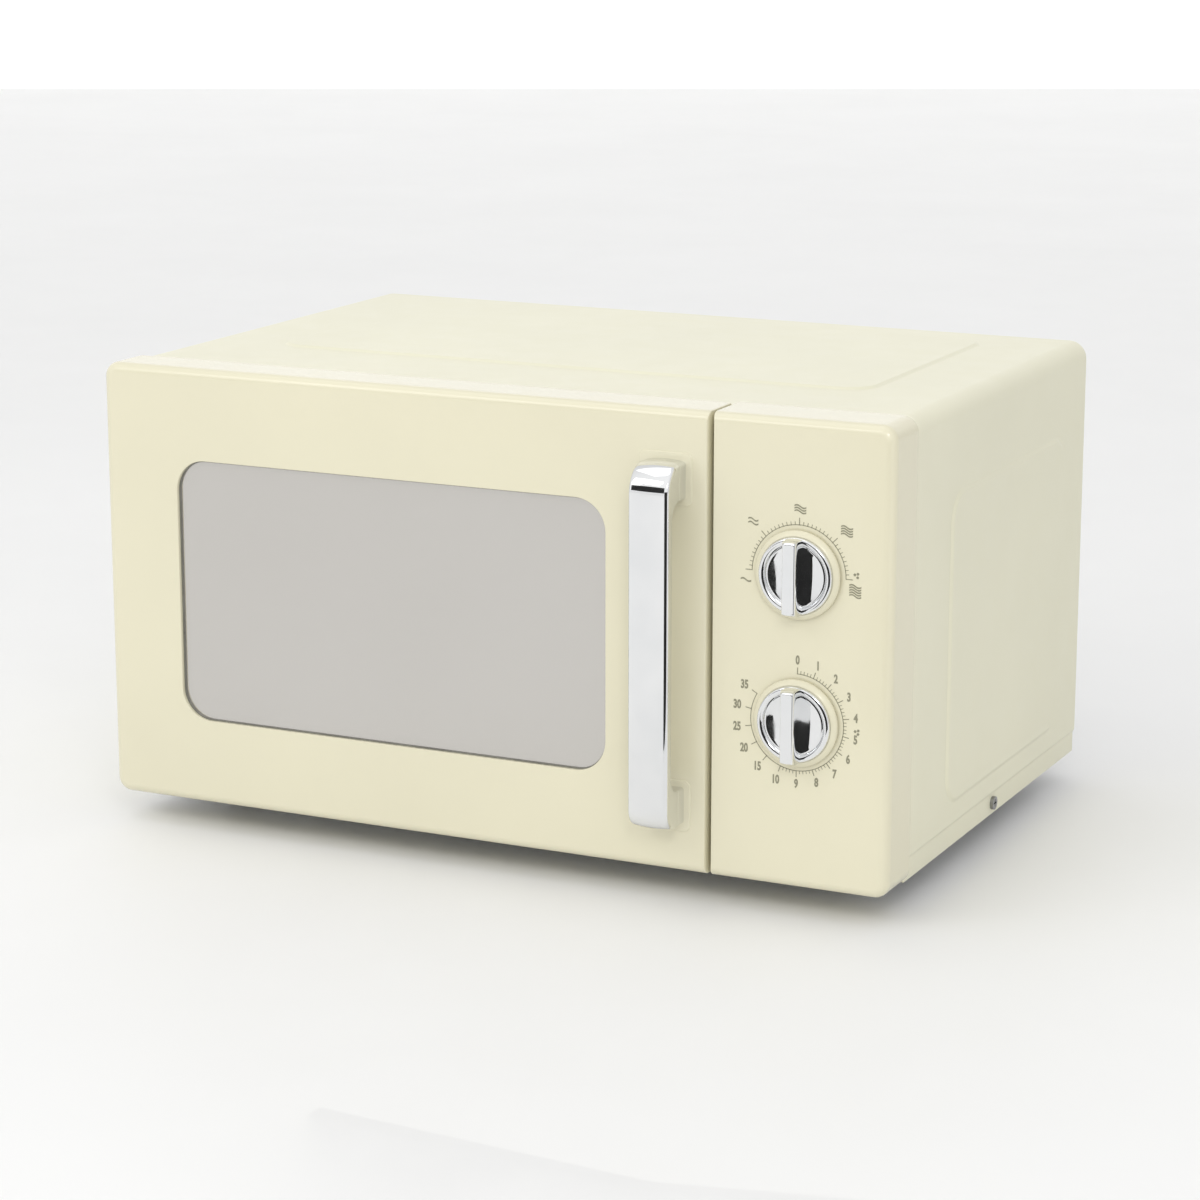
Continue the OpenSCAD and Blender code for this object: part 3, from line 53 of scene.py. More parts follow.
# ------------------------------------------------------------------ helpers: shader nodes
class Shader:
    """A Principled material that is put together node by node."""

    def __init__(self, name):
        self.mat = bpy.data.materials.new(name)
        self.mat.use_nodes = True
        self.tree = self.mat.node_tree
        self.bsdf = self.tree.nodes["Principled BSDF"]
        self.coords = self.tree.nodes.new("ShaderNodeTexCoord").outputs["Object"]

    def node(self, kind, **values):
        made = self.tree.nodes.new(kind)
        for key, value in values.items():
            if key in made.inputs:
                made.inputs[key].default_value = value
            else:
                setattr(made, key, value)
        return made

    def link(self, out, socket):
        self.tree.links.new(out, socket)

    def noise(self, scale, detail=3.0, rough=0.55, stretch=None):
        made = self.node("ShaderNodeTexNoise", Scale=scale, Detail=detail, Roughness=rough)
        if stretch is None:
            self.link(self.coords, made.inputs["Vector"])
        else:
            mapping = self.node("ShaderNodeMapping", Scale=stretch)
            self.link(self.coords, mapping.inputs["Vector"])
            self.link(mapping.outputs["Vector"], made.inputs["Vector"])
        return made.outputs["Fac"]

    def ramp(self, fac, *stops):
        made = self.node("ShaderNodeValToRGB")
        points = made.color_ramp.elements
        while len(points) < len(stops):
            points.new(0.5)
        for point, (place, colour) in zip(points, stops):
            point.position = place
            point.color = (*colour, 1)
        self.link(fac, made.inputs["Fac"])
        return made.outputs["Color"]

    def map_range(self, fac, low, high, start=0.3, end=0.7):
        made = self.node("ShaderNodeMapRange", clamp=True)
        made.inputs["From Min"].default_value = start
        made.inputs["From Max"].default_value = end
        made.inputs["To Min"].default_value = low
        made.inputs["To Max"].default_value = high
        self.link(fac, made.inputs["Value"])
        return made.outputs["Result"]

    def colour(self, fac, dark, light, start=0.3, end=0.7):
        self.link(self.ramp(fac, (start, dark), (end, light)), self.bsdf.inputs["Base Color"])

    def roughness(self, fac, low, high):
        self.link(self.map_range(fac, low, high), self.bsdf.inputs["Roughness"])

    def bump(self, height, depth, strength=1.0):
        made = self.node("ShaderNodeBump", Strength=strength, Distance=depth)
        self.link(height, made.inputs["Height"])
        before = self.bsdf.inputs["Normal"]
        if before.is_linked:
            self.link(before.links[0].from_socket, made.inputs["Normal"])
        self.link(made.outputs["Normal"], before)

    def set(self, **values):
        for key, value in values.items():
            self.bsdf.inputs[key.replace("_", " ")].default_value = value


def shade(colour, factor):
    return tuple(min(1.0, c * factor) for c in colour)


# ------------------------------------------------------------------ materials
CREAM = (0.748, 0.710, 0.533)
SHEET_CREAM = (0.780, 0.758, 0.588)


def gloss_plastic(name, colour, rough=(0.16, 0.26)):
    """Moulded plastic with a faint unevenness of colour and a wavy gloss."""
    s = Shader(name)
    s.colour(s.noise(7.0, 2.0), shade(colour, 0.975), shade(colour, 1.02))
    s.roughness(s.noise(60.0, 4.0), *rough)
    s.bump(s.noise(340.0, 2.0), 0.00003, 0.35)
    s.set(Coat_Weight=0.25, Coat_Roughness=0.08)
    return s.mat


def powder_coat(name, colour, rough=(0.35, 0.42), coat=0.0):
    """Baked paint on sheet steel, with the fine waves of an orange skin."""
    s = Shader(name)
    s.colour(s.noise(7.0, 2.0), shade(colour, 0.975), shade(colour, 1.02))
    s.roughness(s.noise(60.0, 4.0), *rough)
    s.bump(s.noise(90.0, 2.0), 0.00002, 0.15)
    s.set(Coat_Weight=coat, Coat_Roughness=0.2)
    return s.mat


def matte_plastic(name, colour, rough=(0.45, 0.6), grain=1500.0):
    s = Shader(name)
    s.colour(s.noise(12.0, 3.0), shade(colour, 0.92), shade(colour, 1.06))
    s.roughness(s.noise(200.0, 4.0), *rough)
    s.bump(s.noise(grain, 2.0), 0.00006, 0.5)
    return s.mat


def chrome():
    s = Shader("chrome")
    s.colour(s.noise(30.0, 2.0), (0.80, 0.81, 0.82), (0.86, 0.865, 0.87))
    s.roughness(s.noise(220.0, 5.0), 0.02, 0.07)
    s.bump(s.noise(60.0, 2.0), 0.00004, 0.12)
    s.set(Metallic=1.0)
    return s.mat


def mirror_pane():
    """Grey one-way pane: a bright coated glass that hides the oven's inside."""
    s = Shader("window")
    s.colour(s.noise(4.0, 2.0), (0.575, 0.555, 0.525), (0.600, 0.580, 0.550))
    s.roughness(s.noise(40.0, 3.0), 0.10, 0.14)
    s.bump(s.noise(18.0, 1.0), 0.00006, 0.2)
    s.set(Metallic=0.75, Coat_Weight=0.3, Coat_Roughness=0.03)
    return s.mat


def clear_glass():
    s = Shader("glass")
    s.set(Transmission_Weight=1.0, IOR=1.5)
    s.colour(s.noise(8.0, 2.0), (0.86, 0.93, 0.92), (0.92, 0.97, 0.96))
    s.roughness(s.noise(60.0, 3.0), 0.01, 0.05)
    s.bump(s.noise(45.0, 2.0), 0.00005, 0.15)
    return s.mat


def galvanised(name, colour, rough=(0.28, 0.5), metallic=1.0):
    """Zinc-coated sheet, with the flat crystals called spangle."""
    s = Shader(name)
    cells = s.node("ShaderNodeTexVoronoi", Scale=140.0)
    s.link(s.coords, cells.inputs["Vector"])
    s.colour(cells.outputs["Distance"], shade(colour, 0.93), shade(colour, 1.04), 0.1, 0.8)
    s.roughness(s.noise(110.0, 4.0), *rough)
    s.bump(s.noise(500.0, 3.0), 0.00003, 0.4)
    s.set(Metallic=metallic)
    return s.mat


def brushed(name, colour, stretch, rough=(0.22, 0.4)):
    s = Shader(name)
    lines = s.noise(420.0, 4.0, stretch=stretch)
    s.colour(lines, shade(colour, 0.88), shade(colour, 1.05))
    s.roughness(lines, *rough)
    s.bump(lines, 0.00003, 0.4)
    s.set(Metallic=1.0)
    return s.mat


def rubber():
    s = Shader("rubber")
    s.colour(s.noise(60.0, 3.0), (0.018, 0.018, 0.018), (0.035, 0.034, 0.033))
    s.roughness(s.noise(300.0, 4.0), 0.6, 0.85)
    s.bump(s.noise(1400.0, 3.0), 0.0001, 0.5)
    return s.mat


def laminations():
    """Stack of varnished steel sheets, its lines across the stack."""
    s = Shader("core_steel")
    wave = s.node("ShaderNodeTexWave", Scale=330.0, Distortion=0.6, bands_direction="Y")
    s.link(s.coords, wave.inputs["Vector"])
    s.colour(wave.outputs["Fac"], (0.03, 0.027, 0.024), (0.15, 0.14, 0.13))
    s.roughness(s.noise(200.0, 3.0), 0.3, 0.55)
    s.bump(wave.outputs["Fac"], 0.0002, 0.6)
    s.set(Metallic=0.5)
    return s.mat


def copper_winding():
    s = Shader("copper")
    wave = s.node("ShaderNodeTexWave", Scale=260.0, Distortion=0.3, bands_direction="Z")
    s.link(s.coords, wave.inputs["Vector"])
    s.colour(wave.outputs["Fac"], (0.22, 0.07, 0.025), (0.72, 0.34, 0.14))
    s.roughness(s.noise(150.0, 3.0), 0.2, 0.4)
    s.bump(wave.outputs["Fac"], 0.0004, 0.8)
    s.set(Metallic=0.9)
    return s.mat


def mica():
    s = Shader("mica")
    s.colour(s.noise(90.0, 6.0, 0.7), (0.42, 0.36, 0.25), (0.72, 0.66, 0.52))
    s.roughness(s.noise(140.0, 4.0), 0.3, 0.6)
    s.bump(s.noise(240.0, 5.0), 0.0001, 0.5)
    s.set(Coat_Weight=0.3)
    return s.mat


def circuit_board():
    s = Shader("board")
    tracks = s.node("ShaderNodeTexBrick", Scale=90.0)
    s.link(s.coords, tracks.inputs["Vector"])
    s.colour(tracks.outputs["Fac"], (0.02, 0.12, 0.035), (0.10, 0.30, 0.08), 0.0, 1.0)
    s.roughness(s.noise(120.0, 3.0), 0.25, 0.45)
    s.bump(tracks.outputs["Fac"], 0.0001, 0.4)
    return s.mat


def print_ink():
    """Olive-grey screen print on the fronts."""
    s = Shader("print_ink")
    s.colour(s.noise(900.0, 3.0), (0.235, 0.225, 0.150), (0.300, 0.290, 0.205))
    s.roughness(s.noise(300.0, 3.0), 0.45, 0.6)
    s.bump(s.noise(1800.0, 2.0), 0.00003, 0.4)
    return s.mat


def dark_edge():
    """Dark olive-grey: painted shade for the crevice round the window, where the opening meets the pane."""
    s = Shader("painted_rim_shade")
    s.colour(s.noise(50.0, 3.0), (0.17, 0.165, 0.14), (0.23, 0.225, 0.19))
    s.roughness(s.noise(120.0, 3.0), 0.25, 0.4)
    s.bump(s.noise(300.0, 2.0), 0.00003, 0.4)
    return s.mat


MATERIALS = {
    "cream_paint": powder_coat("cream_paint", SHEET_CREAM),
    "cream_plastic": gloss_plastic("cream_plastic", CREAM),
    "chrome": chrome(),
    "zinc_steel": galvanised("zinc_steel", (0.62, 0.63, 0.64)),
    "enamel": powder_coat("enamel", (0.74, 0.72, 0.66), (0.3, 0.42), 0.2),
    "inner_door": powder_coat("inner_door", (0.68, 0.655, 0.58), (0.35, 0.5), 0.1),
    "window": mirror_pane(),
    "glass": clear_glass(),
    "rubber": rubber(),
    "screw_steel": brushed("screw_steel", (0.33, 0.33, 0.34), (1.0, 1.0, 1.0), (0.18, 0.34)),
    "white_plastic": matte_plastic("white_plastic", (0.78, 0.77, 0.72), (0.35, 0.5)),
    "dark_plastic": matte_plastic("dark_plastic", (0.030, 0.030, 0.033)),
    "red_plastic": matte_plastic("red_plastic", (0.50, 0.07, 0.04), (0.3, 0.45)),
    "mica": mica(),
    "aluminium": brushed("aluminium", (0.80, 0.81, 0.82), (1.0, 0.05, 1.0)),
    "core_steel": laminations(),
    "copper": copper_winding(),
    "spring_steel": brushed("spring_steel", (0.42, 0.43, 0.45), (1.0, 1.0, 1.0)),
    "board": circuit_board(),
    "bell_metal": galvanised("bell_metal", (0.80, 0.80, 0.80), (0.08, 0.2)),
}
INK = print_ink()
# Painted shade: the dark crevice line round the window opening
PAINTED_RIM_SHADE = dark_edge()


# ------------------------------------------------------------------ helpers: meshes
def finish_mesh(bm, name, body, slot, replaces=(), sharp=None, mat=None, weighted=False):
    """Turns a bmesh into a piece that rides on a body and takes its finish from a slot."""
    bmesh.ops.remove_doubles(bm, verts=bm.verts, dist=1e-6)
    bmesh.ops.recalc_face_normals(bm, faces=bm.faces)
    mesh = bpy.data.meshes.new(name)
    bm.to_mesh(mesh)
    bm.free()
    for face in mesh.polygons:
        face.use_smooth = True
    if sharp is not None:
        mesh.set_sharp_from_angle(angle=math.radians(sharp))
    piece = bpy.data.objects.new(name, mesh)
    bpy.context.scene.collection.objects.link(piece)
    mesh.materials.append(mat or MATERIALS[slot])
    if weighted:
        weigh_normals(piece, 100)
    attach(piece, body)
    if replaces:
        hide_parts(*replaces)
    return piece


def weigh_normals(piece, weight=50):
    """Keeps large flat faces looking flat, so that only the small faces beside them look bent."""
    modifier = piece.modifiers.new("weighted", "WEIGHTED_NORMAL")
    modifier.keep_sharp = True
    modifier.weight = weight


def rounded_rect(a0, b0, a1, b1, radii, steps=10):
    """Points of a rounded rectangle, anticlockwise from the corner (a0, b0); a radius for each corner."""
    if not hasattr(radii, "__len__"):
        radii = [radii] * 4
    corners = [(a0, b0, 1, 1, 180), (a1, b0, -1, 1, 270), (a1, b1, -1, -1, 0), (a0, b1, 1, -1, 90)]
    points = []
    for (a, b, da, db, start), r in zip(corners, radii):
        for k in range(steps + 1):
            t = math.radians(start + 90 * k / steps)
            points.append((a + da * r + r * math.cos(t), b + db * r + r * math.sin(t)))
    return points


def ring(bm, points):
    return [bm.verts.new(p) for p in points]


def bridge(bm, low, high):
    """Quads between two rings that have the same number of points."""
    n = len(low)
    for k in range(n):
        bm.faces.new((low[k], low[(k + 1) % n], high[(k + 1) % n], high[k]))


def strip(bm, low, high):
    for k in range(len(low) - 1):
        bm.faces.new((low[k], low[k + 1], high[k + 1], high[k]))


def plane_with_holes(bm, outer, holes):
    """Flat face between an outer ring of vertices and rings of vertices inside it."""
    edges = []
    for loop in [outer, *holes]:
        for k in range(len(loop)):
            a, b = loop[k], loop[(k + 1) % len(loop)]
            edges.append(bm.edges.get((a, b)) or bm.edges.new((a, b)))
    bmesh.ops.triangle_fill(bm, use_beauty=True, use_dissolve=False, edges=edges)


def lathe(bm, profile, centre, axis, steps, closed=True):
    """Turns a profile of (radius, along) about an axis through centre. 'along' grows with the axis."""
    rings = []
    for r, along in profile:
        if r == 0.0:
            rings.append([bm.verts.new(on_axis(centre, axis, 0, 0, along))])
            continue
        rings.append([bm.verts.new(on_axis(centre, axis, r, 2 * math.pi * k / steps, along))
                      for k in range(steps)])
    pairs = list(zip(rings, rings[1:]))
    if closed:
        pairs.append((rings[-1], rings[0]))
    for low, high in pairs:
        if len(low) == 1 and len(high) == 1:
            continue
        if len(low) == 1 or len(high) == 1:
            tip, loop = (low[0], high) if len(low) == 1 else (high[0], low)
            for k in range(steps):
                bm.faces.new((tip, loop[k], loop[(k + 1) % steps]))
        else:
            bridge(bm, low, high)


def on_axis(centre, axis, r, t, along):
    """Point at radius r and angle t about the Y or Z axis through centre."""
    x, y, z = centre
    c, s = r * math.cos(t), r * math.sin(t)
    if axis == "Y":
        return (x + c, y + along, z + s)
    return (x + c, y + s, z + along)


def prism(bm, points, y0, y1):
    """Closed solid between two copies of an outline in X and Z."""
    front = ring(bm, [(x, y0, z) for x, z in points])
    back = ring(bm, [(x, y1, z) for x, z in points])
    bridge(bm, front, back)
    bm.faces.new(front)
    bm.faces.new(back)


def prism_up(bm, points, z0, z1):
    """Closed solid between two copies of an outline in X and Y."""
    low = ring(bm, [(x, y, z0) for x, y in points])
    high = ring(bm, [(x, y, z1) for x, y in points])
    bridge(bm, low, high)
    bm.faces.new(low)
    bm.faces.new(high)


# ------------------------------------------------------------------ camera, light and floor
def aim(obj, place, target):
    obj.location = place
    obj.rotation_euler = (Vector(target) - Vector(place)).to_track_quat("-Z", "Y").to_euler()


VIEW_AZIMUTH = 25.61
VIEW_ELEVATION = 13.20
VIEW_DISTANCE = 1.891
VIEW_TARGET = (-0.003, 0.007, 0.1142)
LENS_MM = 102.4
SENSOR_MM = 36


def place_camera():
    azimuth, elevation = math.radians(VIEW_AZIMUTH), math.radians(VIEW_ELEVATION)
    target = Vector(VIEW_TARGET)
    back = Vector((math.sin(azimuth) * math.cos(elevation), -math.cos(azimuth) * math.cos(elevation),
                   math.sin(elevation)))
    data = bpy.data.cameras.new("camera")
    data.sensor_width = SENSOR_MM
    data.lens = LENS_MM
    camera = bpy.data.objects.new("camera", data)
    bpy.context.scene.collection.objects.link(camera)
    aim(camera, target + back * VIEW_DISTANCE, target)
    bpy.context.scene.camera = camera


def area_light(name, place, size, power):
    """Soft white light that points at the middle of the oven."""
    data = bpy.data.lights.new(name, "AREA")
    data.shape = "RECTANGLE"
    data.size, data.size_y = size
    data.energy = power
    light = bpy.data.objects.new(name, data)
    bpy.context.scene.collection.objects.link(light)
    aim(light, place, OVEN_MIDDLE)


def stage_material(name, low, high, rough):
    s = Shader(name)
    s.colour(s.noise(3.0, 3.0), low, high)
    s.roughness(s.noise(20.0, 3.0), *rough)
    return s.mat


OVEN_MIDDLE = (0.0, 0.0, 0.12)
TENT_DARK = 0.34
TENT_BRIGHT = 1.05
TENT_BRIGHT_SIDE = (0.05, -0.76, 0.65)
FLOOR_R = 6.0
BACKDROP_GLOW = 0.3
# Black cards: path over the floor, lower edge and upper edge
CARDS = {
    "near_card": (((0.09, -0.465), (0.252, -0.477), (0.504, -0.417)), 0.0, 0.25),
    "far_card": (((-1.30, -1.45), (-0.02, -1.65)), 0.25, 0.8),
}
CARD_T = 0.01


def make_studio():
    bpy.context.scene.view_settings.view_transform = "Standard"
    make_tent()
    area_light("top_softbox", (-0.3, -0.2, 1.6), (0.9, 0.9), 1.5)
    area_light("left_softbox", (-1.5, -1.7, 0.8), (0.9, 1.2), 1.5)
    area_light("right_softbox", (0.80, -1.35, 1.0), (0.4, 0.4), 3.5)
    area_light("bend_softbox", (-0.60, -1.25, 1.15), (0.9, 0.45), 2.5)
    make_floor()
    make_backdrop()
    make_cards()


def make_tent():
    """Soft tent of light, brightest above and in front."""
    world = bpy.data.worlds.new("studio")
    world.use_nodes = True
    nodes, links = world.node_tree.nodes, world.node_tree.links
    direction = nodes.new("ShaderNodeTexCoord").outputs["Generated"]
    facing = nodes.new("ShaderNodeVectorMath")
    facing.operation = "DOT_PRODUCT"
    facing.inputs[1].default_value = TENT_BRIGHT_SIDE
    links.new(direction, facing.inputs[0])
    level = nodes.new("ShaderNodeMapRange")
    level.inputs["From Min"].default_value = -1
    level.inputs["To Min"].default_value = TENT_DARK
    level.inputs["To Max"].default_value = TENT_BRIGHT
    links.new(facing.outputs["Value"], level.inputs["Value"])
    background = nodes["Background"]
    background.inputs["Color"].default_value = (1.0, 1.0, 1.0, 1)
    links.new(level.outputs["Result"], background.inputs["Strength"])
    bpy.context.scene.world = world


def make_floor():
    bm = bmesh.new()
    profile = [(0.0, 0.0), (1.2, 0.0), (FLOOR_R, 0.0), (FLOOR_R, -0.02), (0.0, -0.02)]
    lathe(bm, profile, (0, 0, 0), "Z", 96)
    finish = stage_material("floor", (0.86, 0.86, 0.855), (0.88, 0.88, 0.875), (0.5, 0.6))
    stage_mesh(bm, "floor", finish)


def make_backdrop():
    """Bright wall far behind the oven."""
    bm = bmesh.new()
    prism_up(bm, [(-7.0, 2.0), (3.0, 6.8), (3.0, 6.9), (-7.0, 2.1)], -0.01, 4.5)
    finish = stage_material("backdrop", (0.86, 0.86, 0.86), (0.88, 0.88, 0.88), (0.8, 0.9))
    shader = finish.node_tree.nodes["Principled BSDF"]
    shader.inputs["Emission Color"].default_value = (1, 1, 1, 1)
    shader.inputs["Emission Strength"].default_value = BACKDROP_GLOW
    stage_mesh(bm, "backdrop", finish)


def make_cards():
    """Cards that only show up in reflections, as beside a product on a photographer's table."""
    black = stage_material("black_card", (0.01, 0.01, 0.01), (0.016, 0.016, 0.016), (0.8, 0.9))
    for name, (path, z0, z1) in CARDS.items():
        bm = bmesh.new()
        for a, b in zip(path, path[1:]):
            prism_up(bm, [a, b, (b[0], b[1] - CARD_T), (a[0], a[1] - CARD_T)], z0, z1)
        card = stage_mesh(bm, name, black)
        card.visible_camera = False
        card.visible_shadow = False
        card.visible_diffuse = False


def stage_mesh(bm, name, mat):
    bmesh.ops.recalc_face_normals(bm, faces=bm.faces)
    mesh = bpy.data.meshes.new(name)
    bm.to_mesh(mesh)
    bm.free()
    mesh.materials.append(mat)
    obj = bpy.data.objects.new(name, mesh)
    bpy.context.scene.collection.objects.link(obj)
    return obj


# ------------------------------------------------------------------ fronts of the door and the panel
EDGE_R = 5 * MM
SEAM_R = 1.2 * MM
SEAM_CORNER_R = 0.6 * MM
CORNER_R = 8 * MM
FACE_T = 3 * MM
WALL_T = 2.5 * MM
SHELL_STEPS = 9
SHELL_CORNER_STEPS = 8
LIP = 0.6 * MM


def shell_ring(x0, z0, x1, z1, seam_left, turn):
    """Ring of a moulded front; turn goes from 0 at the flat face to 90 degrees at the sides."""
    t = math.radians(turn)
    side = [EDGE_R, EDGE_R]
    side[0 if seam_left else 1] = SEAM_R
    inset = [r * (1 - math.sin(t)) for r in side]
    level = EDGE_R * (1 - math.sin(t))
    free_r = max(CORNER_R - level, 0.5 * MM)
    if seam_left:
        radii = [SEAM_CORNER_R, free_r, free_r, SEAM_CORNER_R]
    else:
        radii = [free_r, SEAM_CORNER_R, SEAM_CORNER_R, free_r]
    outline = rounded_rect(x0 + inset[0], z0 + level, x1 - inset[1], z1 - level, radii, SHELL_CORNER_STEPS)
    seam_x = x0 if seam_left else x1
    points = []
    for x, z in outline:
        near = abs(x - seam_x) < inset[0 if seam_left else 1] + 0.3 * MM
        r = SEAM_R if near and z0 + EDGE_R < z < z1 - EDGE_R else EDGE_R
        points.append((x, r * (1 - math.cos(t)), z))
    return points


def moulded_front(node, holes, seam_left):
    """Hollow moulding with softly rounded edges. holes: outlines in X and Z, cut through the face."""
    low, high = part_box(node)
    x0, z0, x1, z1 = low.x, low.z, high.x, high.z
    front, back = low.y, high.y
    bm = bmesh.new()
    rings = []
    for k in range(SHELL_STEPS + 1):
        turn = 90 * k / SHELL_STEPS
        rings.append(ring(bm, [(x, front + y, z) for x, y, z in
                               shell_ring(x0, z0, x1, z1, seam_left, turn)]))
    outer = [(v.co.x, v.co.z) for v in rings[-1]]
    rings.append(ring(bm, [(x, back - 0.3 * MM, z) for x, z in outer]))
    inner = shell_ring(x0 + WALL_T, z0 + WALL_T, x1 - WALL_T, z1 - WALL_T, seam_left, 90)
    rings.append(ring(bm, [(x, back, z) for x, y, z in inner]))
    rings.append(ring(bm, [(x, front + FACE_T, z) for x, y, z in inner]))
    for a, b in zip(rings, rings[1:]):
        bridge(bm, a, b)
    lip_steps = [(LIP, 0.0), (0.35 * LIP, 0.15 * LIP), (0.1 * LIP, 0.45 * LIP), (0.0, LIP), (0.0, FACE_T)]
    front_loops, back_loops = [], []
    for outline, centre in holes:
        loops = [ring(bm, [grow(p, centre, out, front + y) for p in outline]) for out, y in lip_steps]
        for a, b in zip(loops, loops[1:]):
            bridge(bm, a, b)
        front_loops.append(loops[0])
        back_loops.append(loops[-1])
    plane_with_holes(bm, rings[0], front_loops)
    plane_with_holes(bm, rings[-1], back_loops)
    return bm


def grow(point, centre, out, y):
    """Moves a point of an outline away from the outline's centre by about out."""
    x, z = point
    dx, dz = x - centre[0], z - centre[1]
    length = math.hypot(dx, dz)
    return (x + dx / length * out, y, z + dz / length * out)


PANE_LAP = 8 * MM
pane_low, pane_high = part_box("door_window")
WINDOW = (pane_low.x + PANE_LAP, pane_low.z + PANE_LAP, pane_high.x - PANE_LAP, pane_high.z - PANE_LAP)
WINDOW_R = 17 * MM


def make_door():
    x0, z0, x1, z1 = WINDOW
    window = rounded_rect(x0, z0, x1, z1, WINDOW_R, 12)
    bm = moulded_front("door_frame", [(window, ((x0 + x1) / 2, (z0 + z1) / 2))], seam_left=False)
    add_handle_seats(bm)
    add_hinge_bosses(bm)
    finish_mesh(bm, "door_shell", "door", "cream_plastic", ["door_frame"], sharp=50, weighted=True)


HANDLE_FOOT = 20 * MM
SEAT_RIM = 3.5 * MM
SEAT_STEPS = ((0.0, 0.2 * MM), (-0.2 * MM, -0.25 * MM), (-0.7 * MM, -0.45 * MM), (-2.4 * MM, -0.45 * MM))


def add_handle_seats(bm):
    """Raised rims round the handle's two feet, very low, with soft edges."""
    low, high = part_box("door_handle")
    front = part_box("door_frame")[0].y
    for z in (low.z, high.z - HANDLE_FOOT):
        outline = rounded_rect(low.x - SEAT_RIM, z - SEAT_RIM, high.x + SEAT_RIM,
                               z + HANDLE_FOOT + SEAT_RIM, SEAT_RIM, 6)
        centre = ((low.x + high.x) / 2, z + HANDLE_FOOT / 2)
        loops = [ring(bm, [grow(p, centre, out, front + y) for p in outline]) for out, y in SEAT_STEPS]
        for a, b in zip(loops, loops[1:]):
            bridge(bm, a, b)
        bm.faces.new(loops[-1])
        bm.faces.new(loops[0])


LOWER_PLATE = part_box("door_frame")[0].z + 7 * MM
UPPER_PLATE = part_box("door_frame")[1].z - 9 * MM
HINGE_PLATE_T = 2 * MM
HINGE_GAP = 0.4 * MM
PIN_LENGTH = 10 * MM
PIN_SPACE = 1 * MM
BOSS_BORE_R = 2.7 * MM
BOSS_R = 6.45 * MM
BOSS_CHAMFER = 0.25 * MM


def add_hinge_bosses(bm):
    """Bored bosses that turn on the hinge pins."""
    x, y = frame_joint("door_swing")["pos_m"][:2]
    lower_start = LOWER_PLATE + (HINGE_PLATE_T + HINGE_GAP)
    lower_end = LOWER_PLATE + (HINGE_PLATE_T + PIN_LENGTH + PIN_SPACE)
    upper_start = UPPER_PLATE - HINGE_GAP
    upper_end = UPPER_PLATE + (-PIN_LENGTH - PIN_SPACE)
    for side, start, end in ((1, lower_start, lower_end), (-1, upper_start, upper_end)):
        profile = [(BOSS_BORE_R, start), (BOSS_R - BOSS_CHAMFER, start), (BOSS_R, start + side * 0.3 * MM),
                   (BOSS_R, end), (BOSS_BORE_R, end)]
        lathe(bm, profile, (x, y, 0), "Z", 40)


def frame_joint(name):
    return next(j for j in frame["joints"] if j["name"] == name)


SHAFT_HOLE_R = 4.5 * MM
SHAFT_HOLE_STEPS = 40


def make_panel():
    holes = []
    for joint in ("power_turn", "timer_turn"):
        x, _, z = frame_joint(joint)["pos_m"]
        turns = (2 * math.pi * k / SHAFT_HOLE_STEPS for k in range(SHAFT_HOLE_STEPS))
        outline = [(x + SHAFT_HOLE_R * math.cos(t), z + SHAFT_HOLE_R * math.sin(t)) for t in turns]
        holes.append((outline, (x, z)))
    bm = moulded_front("control_panel", holes, seam_left=True)
    finish_mesh(bm, "panel_shell", "chassis", "cream_plastic", ["control_panel"], sharp=50, weighted=True)


PANE_R = 4 * MM
PANE_EDGE_R = 0.5 * MM
# Ring of painted shade round the window opening: how far it reaches in, out, and in front of the pane
RIM_SHADE_IN = 0.5 * MM
RIM_SHADE_OUT = 1 * MM
RIM_SHADE_PROUD = 1.1 * MM
RIM_SHADE_GAP = 0.02 * MM


def make_pane():
    """Mirrored pane, flush behind the door's face."""
    front, back = pane_low.y, pane_high.y
    x0, z0, x1, z1 = pane_low.x, pane_low.z, pane_high.x, pane_high.z
    bm = bmesh.new()
    rings = []
    for inset, y in ((PANE_EDGE_R, front), (0.0, front + PANE_EDGE_R), (0.0, back)):
        outline = rounded_rect(x0 + inset, z0 + inset, x1 - inset, z1 - inset, PANE_R, 6)
        rings.append(ring(bm, [(x, y, z) for x, z in outline]))
    for a, b in zip(rings, rings[1:]):
        bridge(bm, a, b)
    bm.faces.new(rings[0])
    bm.faces.new(rings[-1])
    finish_mesh(bm, "window_pane", "door", "window", ["door_window"], sharp=30)


def make_border():
    """Thin dark ring of painted shade in the crevice between the opening and the bright part of the pane."""
    x0, z0, x1, z1 = WINDOW
    near, far = pane_low.y - RIM_SHADE_PROUD, pane_low.y - RIM_SHADE_GAP
    bm = bmesh.new()
    loops = []
    for inset, y in ((-RIM_SHADE_OUT, far), (-RIM_SHADE_OUT, near), (RIM_SHADE_IN, near), (RIM_SHADE_IN, far)):
        outline = rounded_rect(x0 + inset, z0 + inset, x1 - inset, z1 - inset, WINDOW_R - inset, 12)
        loops.append(ring(bm, [(x, y, z) for x, z in outline]))
    for a, b in zip(loops, loops[1:] + loops[:1]):
        bridge(bm, a, b)
    finish_mesh(bm, "window_painted_rim_shade", "door", "dark_plastic", sharp=30, mat=PAINTED_RIM_SHADE)


HOLE_PITCH = 4 * MM
HOLE_R = 1.3 * MM
SCREEN_MARGIN = 8 * MM


